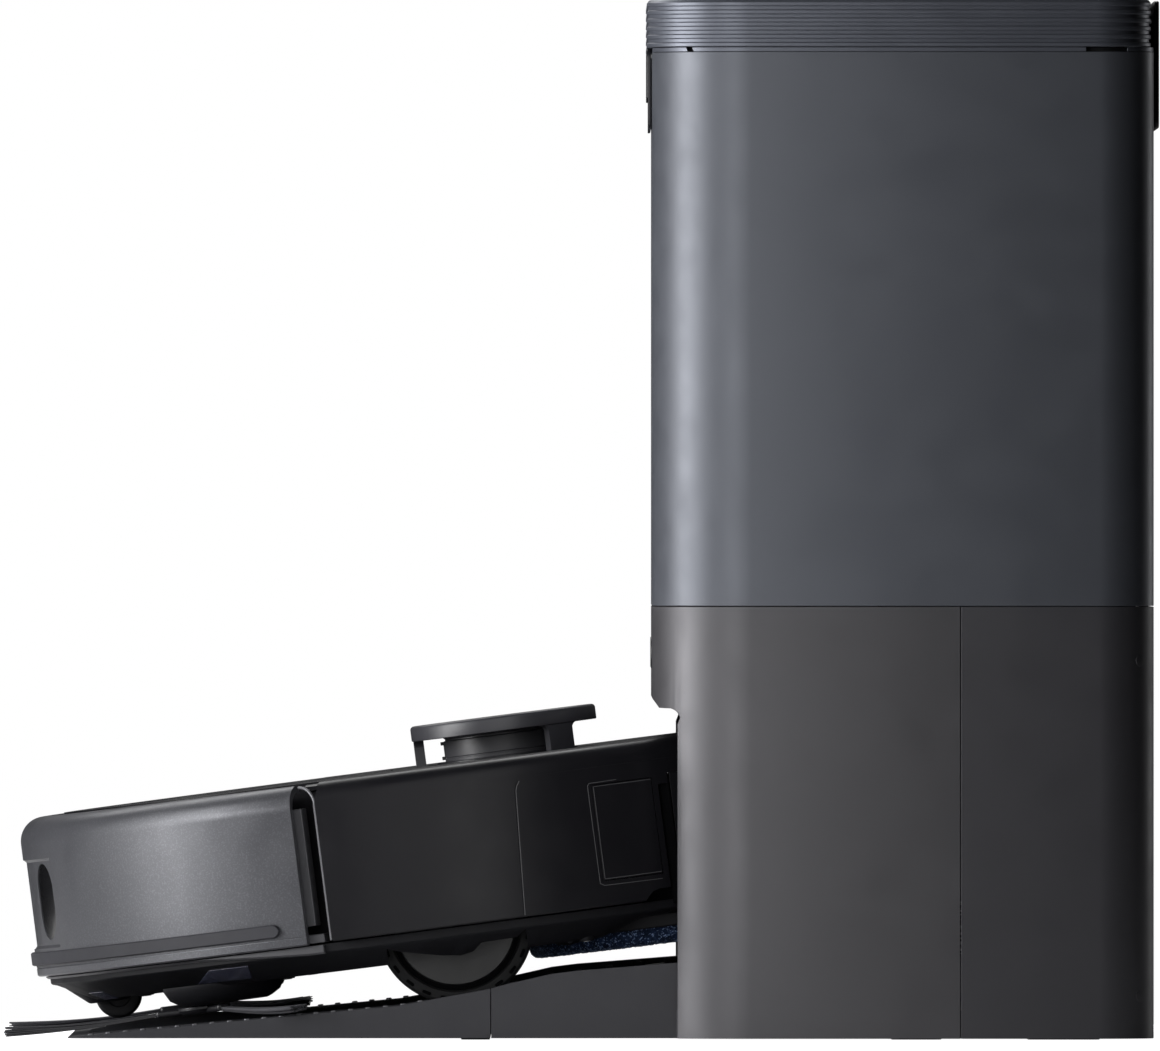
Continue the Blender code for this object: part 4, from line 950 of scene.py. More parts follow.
def build_fenders():
    """Side plates over the wheels, skid blocks behind them and the rail under the bumper."""
    guards = []
    for side in (-1, 1):
        outline = [(-33.0, -0.9), (-33.0, -5.2), *FENDER_EDGE, (32.0, -4.6), (32.0, -0.9)]
        plate = prism(outline, *sorted((side * 133.6, side * 136.2)), "Y")
        guards.append(plate)
    fender = stored("wheel_fenders", joined(*guards), ROBOT)
    cut(fender, joined(*(disc(1.5, *sorted((side * 132.0, side * 138.0)), (-14.5, -5.2), 24, "Y")
                         for side in (-1, 1))), matrix=ROBOT)
    piece(fender, "robot", "cover", bevel=0.5, segments=3)

    blocks = []
    for side in (-1, 1):
        low = [(31.5, -3.0), (34.5, -9.6), (40.0, -13.4), (45.0, -14.0), (50.0, -13.0),
               (61.0, -10.6), (72.0, -6.5), (74.0, -1.2), (31.5, -1.2)]
        rings = []
        for y, grow in ((118.0, -1.5), (126.0, 0.0), (134.0, -0.8), (141.0, -2.6)):
            rings.append([(x, side * y, min(z - min(grow, 0) * 0.8, -1.2) if z < -2 else z)
                          for x, z in low])
        blocks.append(loft(rings))
    body = stored("rear_skid_blocks", joined(*blocks), ROBOT)
    piece(body, "robot", "chassis", bevel=0.5)
    # Lighter V wedge and dot behind each skid block: painted highlight on a recess's edge, and a
    # painted glint.
    for side in (-1, 1):
        tail = SIDE_NAME[side]
        wedge = prism([(48.4, -2.0), (52.6, -7.6), (52.2, -2.4)],
                      *sorted((side * 140.0, side * 141.9)), "Y")
        glint = dome((45.3, side * 140.2, -11.9), 1.3)
        piece(stored("skid_painted_glint_" + tail, joined(wedge, glint), ROBOT), "robot", "guard",
              bevel=0.1)
    rings = []
    for i in range(121):
        angle = 108.6 + 142.8 * i / 120
        share = min(1.0, max(0.0, (abs(angle - 180.0) - 52.0) / 17.0))
        low = -1.9 - 2.7 * share
        rings.append([(*polar(r, angle), z) for r, z in (
            (159.0, low), (167.4, low), (168.3, low + 0.8), (168.3, -0.9), (159.0, -0.9))])
    piece(stored("bumper_rail", loft(rings), ROBOT), "robot", "rail", bevel=0.2)


def cover_plan(inset, front_inset):
    """Round at the sides and rear, stepping in at the front to leave room for the bumper."""
    half = COVER_DEG - math.degrees(max(front_inset, 0.0) / 160.0)
    return (
        arc((0, 0), BODY_R - inset, -half, half, 180)
        + arc((0, 0), FRONT_WALL_R - front_inset, half, 360 - half, 90)
    )


def robot_lid_plan(extra):
    return rounded_plan(LID_X0 - extra, LID_X1 + extra, LID_HALF + extra, 20.0, 6.0, 14)


def build_cover():
    """Top cover with its openings, cut seams and the painted highlight lines in them."""
    rounding, inner = 8.0, 5.0
    plans = [(cover_plan(rounding, SKIN + 1.5), TOP_Z - SKIN)]
    for angle in (75, 50, 25, 0):
        turn = math.radians(angle)
        plans.append((cover_plan(SKIN + inner * (1 - math.cos(turn)), SKIN),
                      TOP_Z - rounding + inner * math.sin(turn)))
    plans += [(cover_plan(SKIN, SKIN), 0.0), (cover_plan(0.5, 0.5), 0.0),
              (cover_plan(0.0, 0.0), 0.5)]
    for i in range(9):
        turn = math.radians(90 * i / 8)
        inset = rounding * (1 - math.cos(turn))
        plans.append((cover_plan(inset, min(inset, 1.0)),
                      TOP_Z - rounding + rounding * math.sin(turn)))
    cover = stored("top_cover_skin", levels(*plans), ROBOT)
    notch = [(78.0, -5.0), (78.0, 0.0), (79.2, 1.6), (81.2, 3.5), (84.0, 4.3), (88.5, 4.3),
             (88.5, 45.5)]
    notch += arc((93.3, 45.5), 4.8, 180, 90, 10)
    notch += [(190.0, 50.3), (190.0, -5.0)]
    low, high = FLAP_DEG
    extra = math.degrees(GAP / BODY_R)
    legs = [guard_post(*degrees, 0.45, 50.0, 80.0) for degrees in POST_DEG]
    cut(
        cover,
        prism(notch, -180.0, 180.0, "Y"),
        joined(
            prism(robot_lid_plan(GAP), 50.0, 80.0),
            disc(DRUM_R + 1.3, 50.0, 80.0, (LIDAR_X, 0.0), 96),
            *(disc(4.8, 50.0, 80.0, (BUTTON_X, side * BUTTON_Y), 48) for side in (-1, 1)),
            *legs,
        ),
        sector(band(160.0, 180.0, FLAP_LOW - GAP, FLAP_HIGH + GAP), -high - extra, -low + extra, 16),
        matrix=ROBOT,
    )
    grooves, highlight_beads = [], []
    for side in (-1, 1):
        seam = [(28.4, -1.0), (31.1, 50.8), (31.7, 52.8), (32.9, 54.6)]
        grooves.append(swept(wall_path(seam, side, BODY_R + 0.12, 1.5), 0.3, 6))
        # Lighter bead inside the seam's groove: painted highlight of the groove's edge.
        seam = [(x + 0.32, max(z, 0.6)) for x, z in seam]
        highlight_beads.append(swept(wall_path(seam, side, BODY_R - 0.03, 1.5), 0.17, 6))
        line = wall_path([(40.0, 56.0), (96.0, 56.4)], side, BODY_R + 0.1, 1.5)
        grooves.append(swept(line, 0.2, 6))
    # Lighter bead round the rear panel's frame: painted highlight of its edge.
    frame_line = [(85.6, 8.2), (62.0, 8.4), (60.4, 9.4), (60.2, 49.0), (61.0, 50.0), (72.0, 50.2)]
    highlight_beads.append(swept(wall_path(frame_line, -1, BODY_R - 0.05, 1.2), 0.16, 6))
    top_ring = [(*polar(150.0, a), TOP_Z + 0.05) for a in range(-84, 85, 3)]
    grooves.append(swept(top_ring, 0.32, 6))
    for groove in grooves:
        cut(cover, groove, matrix=ROBOT)
    piece(stored("cover_painted_highlight_lines", joined(*highlight_beads), ROBOT), "robot", "bead",
          bevel=0)
    piece(cover, "robot", "cover", ["top_cover"], bevel=0.3)


def build_flap():
    low, high = FLAP_DEG
    panel = sector(band(BODY_R - 1.7, BODY_R, FLAP_LOW, FLAP_HIGH), -high, -low, 24)
    flap = stored("side_flap_panel", panel, ROBOT)
    piece(flap, "side_flap", "cover", ["side_flap"], bevel=0.3, segments=3)
    # Lighter bead round the flap's edge: painted highlight of that edge.
    x0, x1 = polar(BODY_R, -high)[0] + 0.5, polar(BODY_R, -low)[0] - 0.3
    rim = wall_path([(x1, 48.5), (x0, 48.5), (x0, 11.0), (x1, 11.0)], -1, BODY_R - 0.04, 1.2)
    piece(stored("side_flap_painted_highlight_rim", swept(rim, 0.15, 6), ROBOT), "side_flap", "bead",
          bevel=0)
    inner_low, inner_high = low + 0.4, high - 0.4
    pocket = sector(band(BODY_R - 14.0, BODY_R - SKIN - 0.2, 12.0, 47.5), -inner_high, -inner_low, 12)
    piece(stored("flap_pocket", pocket, ROBOT), "robot", "inner", bevel=0.8)


def build_cover_corners():
    """Painted highlight strip on the cover's front edge, the corner under it and the bumper's
    turned-in end.
    """
    bend, reach, start = 55.5, 5.6, COVER_DEG + 0.1
    for side in (-1, 1):
        tail = SIDE_NAME[side]
        edge = [(*polar(BODY_R - 0.5, side * start), z) for z in (0.6, 20.0, 40.0, bend)]
        for i in range(1, 11):
            turn = math.radians(90 * i / 10)
            z = bend + 7.6 * math.sin(turn)
            r = BODY_R - 0.5 - reach * (1 - math.cos(turn))
            x = polar(BODY_R, COVER_DEG)[0] - reach * (1 - math.cos(turn))
            edge.append((x, side * math.sqrt(r * r - x * x), z))
        # Light grey rod along the cover's front edge: painted highlight of that lit edge.
        strip = swept(edge, 0.62, 10)
        piece(stored("cover_edge_painted_highlight_" + tail, strip, ROBOT), "robot", "edge_glint_paint",
              bevel=0)
        corner = sector(((153.0, 60.4), (162.0, 60.4), (164.4, 61.4), (163.2, 63.0),
                         (161.0, 63.8), (153.0, 63.8)), *sorted((side * 106.6, side * 109.0)), 6)
        ribs = [sector(band(154.0, 158.0, 1.0, 59.0), *sorted((side * 107.8, side * 108.2)), 2),
                corner]
        piece(stored("cover_front_corner_" + tail, joined(*ribs), ROBOT), "robot", "cover",
              bevel=0.2)
        catch = [sector(band(160.0, 166.4, 7.0, 54.6), *sorted((side * 109.5, side * 111.8)), 6),
                 sector(band(161.0, 167.8, 0.0, 3.6), *sorted((side * 108.3, side * 111.8)), 8)]
        piece(stored("bumper_return_" + tail, joined(*catch), ROBOT), "bumper", "rail",
              bevel=0.5, segments=3)


def build_hatch():
    """Lid over the dust bin and the two buttons in front of it."""
    hatch = stored("dust_bin_hatch", prism(robot_lid_plan(0.0), TOP_Z - 2.7, TOP_Z), ROBOT)
    cut(hatch, rounded_box((LID_X0 + 3, LID_X0 + 9), (-16.0, 16.0), (TOP_Z - 0.9, TOP_Z + 2),
                           2.8, 0.3), matrix=ROBOT)
    piece(hatch, "robot_lid", "cover_top", ["robot_lid"], bevel=0.45, segments=3)
    for name, side in (("power_button", -1), ("home_button", 1)):
        cap = disc(4.5, TOP_Z - 3.7, TOP_Z - 0.05, (BUTTON_X, side * BUTTON_Y), 64, edge=0.5)
        mark = ringed((circle(2.1, (BUTTON_X, side * BUTTON_Y)), TOP_Z - 0.2),
                      (circle(2.1, (BUTTON_X, side * BUTTON_Y)), TOP_Z + 0.02),
                      (circle(1.6, (BUTTON_X, side * BUTTON_Y)), TOP_Z + 0.02),
                      (circle(1.6, (BUTTON_X, side * BUTTON_Y)), TOP_Z - 0.2))
        piece(stored(name + "_cap", joined(cap, mark), ROBOT), name, "dark", [name],
              bevel=0)


def circle(radius, centre, steps=48):
    return [polar(radius, 360 * i / steps, centre) for i in range(steps)]


def guard_post(start, end, extra, low, high):
    """A post of the laser guard, or with extra room its hole in the cover."""
    turn = math.degrees(extra / 37.3)
    bm = sector(band(33.2 - extra, 37.3 + extra, low, high), start - turn, end + turn, 16)
    return placed(bm, (LIDAR_X, 0.0, 0.0))


def build_lidar():
    at = (LIDAR_X, 0.0)
    plate = turned(((0, 77.6), (26.8, 77.6), (26.8, GUARD_LOW + 0.1), (27.0, GUARD_LOW),
                    (GUARD_R - 0.3, GUARD_LOW), (GUARD_R, GUARD_LOW + 0.3),
                    (GUARD_R, GUARD_TOP - 1.3), (GUARD_R - 0.3, GUARD_TOP - 0.6),
                    (GUARD_R - 1.0, GUARD_TOP - 0.1), (GUARD_R - 1.8, GUARD_TOP),
                    (30.0, GUARD_TOP), (29.6, GUARD_TOP - 0.35), (29.0, GUARD_TOP - 0.35),
                    (28.6, GUARD_TOP), (0, GUARD_TOP)), 144, at)
    cap = stored("lidar_guard_cap", plate, ROBOT)
    for start, end in POST_DEG:
        cut(cap, guard_post(start, end, 0.0, 62.2, 76.0), matrix=ROBOT, operation="UNION")
        for edge, way in ((start, -1), (end, 1)):
            rings = []
            for turn, z in [*((math.radians(15 * i), None) for i in range(7)),
                            (math.radians(90), 75.3)]:
                angle = edge + way * math.degrees((3.0 - 3.0 * math.cos(turn)) / 36.0)
                z = z or 72.0 + 3.0 * math.sin(turn)
                rings.append([(*polar(r, a, at), z) for r, a in (
                    (33.4, edge - way), (37.1, edge - way), (37.1, angle), (33.4, angle))])
            fillet = loft(rings)
            bmesh.ops.recalc_face_normals(fillet, faces=fillet.faces)
            cut(cap, fillet, matrix=ROBOT, operation="UNION")
    piece(cap, "lidar_guard", "guard", ["lidar_guard"], bevel=0.3, segments=3)
    drum = turned(((0, 60.0), (25.2, 60.0), (25.2, 66.2), (24.9, 66.4), (24.9, 66.8),
                   (25.2, 67.0), (25.2, 73.4), (24.4, 73.7), (24.4, 74.3), (25.0, 74.6),
                   (24.6, 75.3), (0, 75.3)), 144, at)
    piece(stored("lidar_drum_turret", drum, ROBOT), "lidar_drum", "drum",
          ["lidar_drum"], bevel=0.12)
    eye = sector(band(24.9, 25.3, 67.4, 72.8), 165, 190, 12)
    clips = [sector(band(25.0, 26.4, z, z + 1.4), 176, 180, 3) for z in (66.0, 72.0)]
    for bm in (eye, *clips):
        placed(bm, (LIDAR_X, 0, 0))
    piece(stored("lidar_drum_eye", joined(eye, *clips), ROBOT), "lidar_drum", "dark",
          bevel=0.08)
    collar = turned(((26.7, 63.6), (28.8, 63.6), (28.8, 64.9), (28.2, 65.2), (27.2, 65.2),
                     (26.7, 64.9)), 144, at)
    piece(stored("lidar_collar", collar, ROBOT), "robot", "dark", bevel=0)


def build_bumper():
    rounding = arc((161.5, 54.0), 10.0, 0, 90, 12)
    inside = arc((161.5, 54.0), 7.0, 90, 0, 8)
    profile = [(BODY_R - 0.6, -0.4), (BODY_R, 0.2), (BODY_R, 3.0), *rounding, (158.4, 64.0),
               (158.0, 63.6), (158.0, 61.0), *inside, (168.5, -0.4)]
    start, end = 180 - BUMPER_DEG, 180 + BUMPER_DEG
    shell = stored("bumper_skin", sector(profile, start, end, 200), ROBOT)
    windows, extra = (12.4, 19.5), math.degrees(GAP / BODY_R)
    brow = [(170.2, 12.0), (171.0, 11.0), (180.0, 9.0), (180.0, 50.5), (171.2, 47.2), (170.2, 46.2)]
    cut(shell, sector(brow, 159.0, 201.0, 60), matrix=ROBOT)
    for name, side in (("window_left", 1), ("window_right", -1)):
        low, high = sorted((180 + side * windows[0], 180 + side * windows[1]))
        cut(shell, slot_sector(low - extra, high + extra, 150.0, 180.0, 14.2, 45.3), matrix=ROBOT)
        pane = slot_sector(low, high, 167.6, 169.9, 14.5, 45.0)
        piece(stored(name + "_pane", pane, ROBOT), "bumper", "lens", [name], bevel=0.35)
    bead = swept([(*polar(BODY_R + 0.02, start + (end - start) * i / 150), 3.1)
                  for i in range(151)], 0.28, 6)
    cut(shell, bead, matrix=ROBOT)
    piece(shell, "bumper", "bumper", ["bumper"], bevel=0.35, segments=3)


def build_strip():
    """Rubber strip round the bumper, its ends rounded by closely set rings."""
    rings = []
    radius, low, high = 2.75, 4.1, 9.6
    mid = (low + high) / 2
    reach = STRIP_HALF_DEG
    steps = [0.0, 0.02, 0.06, 0.12, 0.2, 0.32, 0.46, 0.62, 0.8, 1.0]
    angles = [-reach + s for s in steps]
    angles += [-reach + 1 + (2 * reach - 2) * i / 200 for i in range(1, 200)]
    angles += [reach - s for s in reversed(steps)]
    for angle in angles:
        edge = math.radians(reach - abs(angle)) * 172.0
        half = radius if edge > radius else math.sqrt(max(0.02, radius ** 2 - (radius - edge) ** 2))
        soft = min(0.5, half * 0.5)
        profile = [(BODY_R - 0.3, mid - half), (172.6, mid - half), (173.2, mid - half + soft),
                   (173.2, mid + half - soft), (172.6, mid + half), (BODY_R - 0.3, mid + half)]
        rings.append([(*polar(r, 180 + angle), z) for r, z in profile])
    piece(stored("bumper_strip_rubber", loft(rings), ROBOT), "bumper", "bumper_strip",
          ["bumper_strip"], bevel=0)


def slot_sector(start, end, inner, outer, low, high):
    """Upright slot with round ends, on the round wall."""
    radius = math.radians(end - start) * 171.0 / 2
    rings = []
    for i in range(25):
        offset = radius * math.cos(math.pi * (1 - i / 24))
        rise = math.sqrt(max(0.0, radius ** 2 - offset ** 2))
        angle = (start + end) / 2 + math.degrees(offset / 171.0)
        z0, z1 = low + radius - rise, high - radius + rise
        rings.append([(*polar(r, angle), z) for r, z in
                      ((inner, z0), (outer, z0), (outer, z1), (inner, z1))])
    return loft(rings)


def build_wheels():
    for name, side in (("left", 1), ("right", -1)):
        inner, outer = WHEEL_INNER, WHEEL_OUTER

        def along(profile, side=side):
            """Profile turned about the wheel's axle; its heights run outward from the robot."""
            bm = turned(profile, 144, axis="Y")
            if side < 0:
                bm.transform(Matrix.Diagonal((1, -1, 1, 1)))
            return bm

        tyre = stored("tyre_" + name, along((
            (26.4, inner + 0.4), (30.6, inner + 0.4), (31.3, inner + 0.9), (31.6, inner + 2.0),
            (31.8, inner + 6.0), (31.8, outer - 6.0), (31.6, outer - 2.0), (31.2, outer - 0.8),
            (30.4, outer - 0.2), (27.2, outer - 0.2), (26.4, outer - 1.0),
        )), ROBOT)

        def row(start, end, low, high, half, shift, count=24):
            """Ring of small blocks for the slots in the tyre."""
            y = sorted((side * start, side * end))
            found = []
            for i in range(count):
                bm = rounded_box((-half, half), y, (low, high), 0.5, 0.1, "Y")
                bm.transform(Matrix.Rotation(math.radians(360 * i / count + shift), 4, "Y"))
                found.append(bm)
            return joined(*found)

        cut(tyre, row(outer - 1.5, outer + 1.0, 28.9, 30.2, 1.9, 0.0), matrix=ROBOT)
        cut(tyre, row(outer - 6.4, outer - 3.2, 30.6, 34.0, 1.3, 7.5), matrix=ROBOT)
        cut(tyre, row(outer - 12.6, outer - 9.4, 30.6, 34.0, 1.3, 0.0), matrix=ROBOT)
        cut(tyre, row(inner + 3.2, inner + 6.4, 30.6, 34.0, 1.3, 7.5), matrix=ROBOT)
        piece(tyre, "wheel_" + name, "tyre", ["wheel_" + name], bevel=0.2)
        hub = along((
            (0, inner), (22.0, inner), (26.0, inner + 0.6), (26.2, inner + 2.0),
            (26.2, outer - 2.2), (25.2, outer - 2.4), (24.9, outer - 1.2), (24.3, outer - 0.4),
            (23.9, outer - 0.1), (0, outer - 0.1),
        ))
        stub = disc(5.0, *sorted((side * 104.3, side * 111.0)), (0.0, 0.0), 48, "Y")
        piece(stored("hub_" + name, joined(hub, stub), ROBOT), "wheel_" + name, "hub",
              bevel=0.15)
        # Black ring at the hub and black inlays in the slots: painted shade where the slots and the
        # gap fall in shadow.
        ring = along(((24.5, outer - 1.5), (26.35, outer - 1.5), (26.35, outer - 0.35),
                      (24.5, outer - 0.35)))
        slot_shade_inlays = row(outer - 1.4, outer - 0.13, 28.95, 30.15, 1.85, 0.0)
        piece(stored("tyre_slot_painted_shade_" + name, joined(ring, slot_shade_inlays), ROBOT), "wheel_" + name, "painted_shade",
              bevel=0)
        pivot = (-44.0, 12.0)
        outline = [*arc((0.0, 0.0), 8.0, -110, 60, 16), *arc(pivot, 7.0, 70, 260, 16)]
        low, high = sorted((side * 97.0, side * 104.0))
        arm = stored("suspension_arm_" + name, prism(outline, low, high, "Y"), ROBOT)
        hole = [(-34.0, 4.0), (-12.0, -1.6), (-10.0, 1.6), (-33.0, 9.6)]
        cut(arm, prism(hole, low - 1.0, high + 1.0, "Y"), matrix=ROBOT)
        piece(arm, "suspension_" + name, "dark", ["wheel_arm_" + name], bevel=0.7,
              segments=3)


def build_caster():
    swivel = (CASTER_SWIVEL_X, 0.0)
    fork = stored("caster_housing", turned((
        (0, -14.0), (8.0, -14.0), (8.8, -13.7), (19.9, -4.6), (20.3, -3.8), (20.3, -2.9),
        (19.9, -2.5), (0, -2.5)), 96, swivel), ROBOT)
    cut(fork, rounded_box((CASTER_X - 10.3, CASTER_X + 10.3), (-4.8, 4.8), (-30.0, 0.0), 2.0, 0.1),
        matrix=ROBOT)
    piece(fork, "caster_fork", "chassis", ["caster_fork"], bevel=0.4)
    axle = disc(1.4, -8.0, 8.0, (CASTER_X, CASTER_Z), 32, "Y", 0.3)
    piece(stored("caster_axle", axle, ROBOT), "caster_fork", "steel", bevel=0)
    wheel = turned((
        (1.5, -3.6), (4.6, -3.6), (5.0, -4.2), (6.6, -4.4), (8.4, -4.1), (9.2, -3.2), (9.5, -1.8),
        (9.5, 1.8), (9.2, 3.2), (8.4, 4.1), (6.6, 4.4), (5.0, 4.2), (4.6, 3.6), (1.5, 3.6),
    ), 96, (CASTER_X, CASTER_Z), "Y")
    piece(stored("caster_wheel_tyre", wheel, ROBOT), "caster_wheel", "caster",
          ["caster_wheel"], bevel=0)


def build_brushes():
    for name, side in (("left", 1), ("right", -1)):
        hub = (BRUSH_X, side * BRUSH_Y)
        boss = turned((
            (0, -22.9), (6.6, -22.9), (8.2, -22.5), (9.4, -21.8), (10.0, -20.9), (10.0, -19.9),
            (9.6, -19.7), (5.0, -19.7), (5.0, -10.0), (0, -10.0)), 96, hub)
        sockets = []
        for angle in BRUSH_ARMS_DEG:
            socket = rounded_box((6.0, 19.0), (-3.0, 3.0), (-22.6, -19.9), 1.6, 0.9)
            sockets.append(placed(socket, (*hub, 0), angle))
        screw = disc(2.0, -23.0, -22.0, hub, 32, edge=0.3)
        piece(stored("side_brush_hub_" + name, joined(boss, *sockets, screw), ROBOT),
              "side_brush_" + name, "dark", ["side_brush_" + name], bevel=0.2)
        rng = random.Random(11 + side)
        dark, light = [], []
        for angle in BRUSH_ARMS_DEG:
            for i in range(54):
                across, up = rng.uniform(-1, 1), rng.uniform(-1, 1)
                length = BRUSH_REACH - 0.5 - abs(rng.gauss(0, 1.0)) - 1.5 * abs(across)
                path = []
                for step in range(10):
                    t = step / 9
                    if angle == 180:
                        z = -21.0 + up * (0.5 + 1.5 * t ** 2) + 0.9 * t - 1.3 * math.sin(3.1 * t)
                    else:
                        z = -21.4 + up * (0.55 + 0.7 * t) - 3.6 * math.sin(1.75 * t)
                    path.append((14.0 + (length - 14.0) * t, across * (1.5 + 2.6 * t ** 1.4), z))
                bm = swept(path, [0.34] * 8 + [0.3, 0.2], 5)
                (light if i % 4 == 1 else dark).append(placed(bm, (*hub, 0), angle))
        for tag, look, group in (("dark", "bristle_dark", dark), ("light", "bristle", light)):
            piece(stored(f"side_bristles_{tag}_{name}", joined(*group), ROBOT),
                  "side_brush_" + name, look, bevel=0)


def build_roller():
    core = turned(((0, -ROLLER_HALF), (5.0, -ROLLER_HALF), (5.0, -84.0), (11.8, -84.0),
                   (12.6, -83.0), (12.6, 83.0), (11.8, 84.0), (5.0, 84.0), (5.0, ROLLER_HALF),
                   (0, ROLLER_HALF)), 72, (ROLLER_X, ROLLER_Z), "Y")
    fins = []
    for i in range(6):
        for half in (-1, 1):
            rings = []
            for k in range(29):
                y = half * 83.0 * k / 28
                twist = 60 * i + 42.0 * (1 - k / 28)
                ring = []
                for r, offset in ((12.0, -5.0), (18.0, -1.9), (18.3, 0.0), (18.0, 1.9), (12.0, 5.0)):
                    x, z = polar(r, twist + offset, (ROLLER_X, ROLLER_Z))
                    ring.append((x, y, z))
                rings.append(ring)
            fins.append(loft(rings))
    piece(stored("main_brush_roller", joined(core, *fins), ROBOT), "main_brush", "rubber",
          ["main_brush"], bevel=0.3)


def build_mops():
    for name, side in (("left", 1), ("right", -1)):
        at = (MOP_X, side * MOP_Y)
        plate = turned((
            (0, -9.2), (58.4, -9.2), (59.0, -8.8), (59.0, -7.5), (58.4, -7.1), (50.0, -7.1),
            (49.5, -6.6), (47.0, -6.6), (46.5, -7.1), (9.0, -7.1), (5.6, -4.0), (5.0, 2.2),
            (4.6, 2.5), (0, 2.5)), 144, at)
        piece(stored("mop_plate_disc_" + name, plate, ROBOT), "mop_" + name, "dark",
              ["mop_plate_" + name], bevel=0)
        piece(plush_pad(name, side), "mop_" + name, "mop", ["mop_pad_" + name], bevel=0)
    carriage = stored("mop_lift_carriage",
                      rounded_box((72.0, 106.0), (-84.0, 84.0), (3.0, 14.0), 6.0, 1.5), ROBOT)
    pocket = joined(*(disc(12.0, 10.0, 20.0, (MOP_X, side * MOP_Y), 48) for side in (-1, 1)))
    cut(carriage, pocket, rounded_box((78.0, 100.0), (-46.0, 46.0), (10.0, 20.0), 4.0, 0.2),
        matrix=ROBOT)
    piece(carriage, "mop_lift", "dark", ["mop_carriage"], bevel=0.3)


def plush_pad(name, side):
    """Mop pad whose whole surface is short tufts of yarn."""
    rng = random.Random(31 + side)
    low, high, radius = MOP_LOW, MOP_PLATE_LOW - GAP, MOP_R
    profile = [(0, low + 0.7)]
    for i in range(1, 46):
        profile.append((56.0 * i / 45, low + 0.7))
    for i in range(7):
        turn = math.radians(90 * i / 6)
        profile.append((56.6 + 3.4 * math.sin(turn), low + 4.1 - 3.4 * math.cos(turn)))
    for i in range(1, 8):
        profile.append((60.0, low + 4.1 + (-8.0 - low - 4.1) * i / 7))
    profile += [(59.7, -7.4), (59.3, -7.5), (59.25, high - 0.1), (40.0, high - 0.1),
                (0, high - 0.1)]
    bm = turned(profile, 300)
    bm.normal_update()
    moved = []
    for vert in bm.verts:
        r = math.hypot(vert.co.x, vert.co.y)
        push = (rng.random() - 0.25) * 0.95
        limit_r = min(push, radius - 0.05 - r) if r > 50 else push
        if r < 1.0 or (r < 59.4 and vert.co.z > high - 0.3):
            continue
        moved.append((vert, vert.normal * min(push, 0.9 if r < 50 else limit_r)))
    for vert, shift in moved:
        vert.co += shift
        vert.co.z = max(vert.co.z, low + 0.02)
        if math.hypot(vert.co.x, vert.co.y) < 59.2:
            vert.co.z = min(vert.co.z, high)
    bm.transform(Matrix.Translation((MOP_X, side * MOP_Y, 0)))
    obj = stored("mop_pad_plush_" + name, bm, ROBOT, 180.0)
    return obj or obj


def build_inside():
    """Dust bin, fan motor, battery and main board."""
    tub = [(rounded_rect(-133.0, -77.0, 60.0, 5.0, i), z) for i, z in (
        (0.6, 1.0), (0.0, 1.8), (0.0, 54.0), (0.0, 58.0), (1.6, 58.0), (1.8, 55.0), (1.8, 4.0),
        (3.0, 3.0))]
    dust_bin = stored("dust_bin_tub", levels(*tub), ROBOT)
    cut(dust_bin, rounded_box((-90.0, -70.0), (-40.0, 40.0), (20.0, 48.0), 4.0, 0.2, "X"),
        matrix=ROBOT)
    piece(dust_bin, "robot", "bin", ["dust_bin"], bevel=0.25)
    ribs = [block((-79.6, -77.4), (-40.5, 40.5), (20.0 + 3.5 * i, 21.4 + 3.5 * i))
            for i in range(8)]
    piece(stored("bin_filter_grille", joined(*ribs), ROBOT), "robot", "bag",
          bevel=0.2)
    handle = rounded_box((-131.0, -80.0), (-5.0, 5.0), (54.6, 57.6), 2.0, 1.0)
    piece(stored("bin_handle", handle, ROBOT), "robot", "dark", bevel=0)
    motor = turned(((0, 25), (17.6, 25), (19, 26.4), (19, 40), (18.2, 40.8), (18.2, 42.2),
                    (19, 43), (19, 55.6), (17.6, 57), (8.0, 58), (7.0, 55.0), (0, 55.0)),
                   72, (-46.0, 0.0))
    piece(stored("fan_motor_can", motor, ROBOT), "robot", "steel", ["fan_motor"],
          bevel=0.2)
    pack = rounded_box((-18.0, 54.0), (-60.0, 60.0), (-3.0, 46.0), 3.0, 2.2)
    piece(stored("battery_pack", pack, ROBOT), "robot", "battery",
          ["battery"], bevel=0)
    board = rounded_box((-16.0, 84.0), (-58.0, 58.0), (51.0, 52.6), 2.0, 0.1)
    piece(stored("main_board_plate", board, ROBOT), "robot", "board",
          ["main_board"], bevel=0)
    rng = random.Random(7)
    chips = []
    for x in range(-8, 80, 12):
        for y in range(-48, 52, 14):
            a, b, h = 2 + rng.random() * 3, 2 + rng.random() * 4, 0.8 + rng.random() * 1.6
            chips.append(rounded_box((x - a, x + a), (y - b, y + b), (52.4, 52.7 + h), 0.4, 0.15))
    piece(stored("main_board_chips", joined(*chips), ROBOT), "robot", "dark",
          bevel=0)


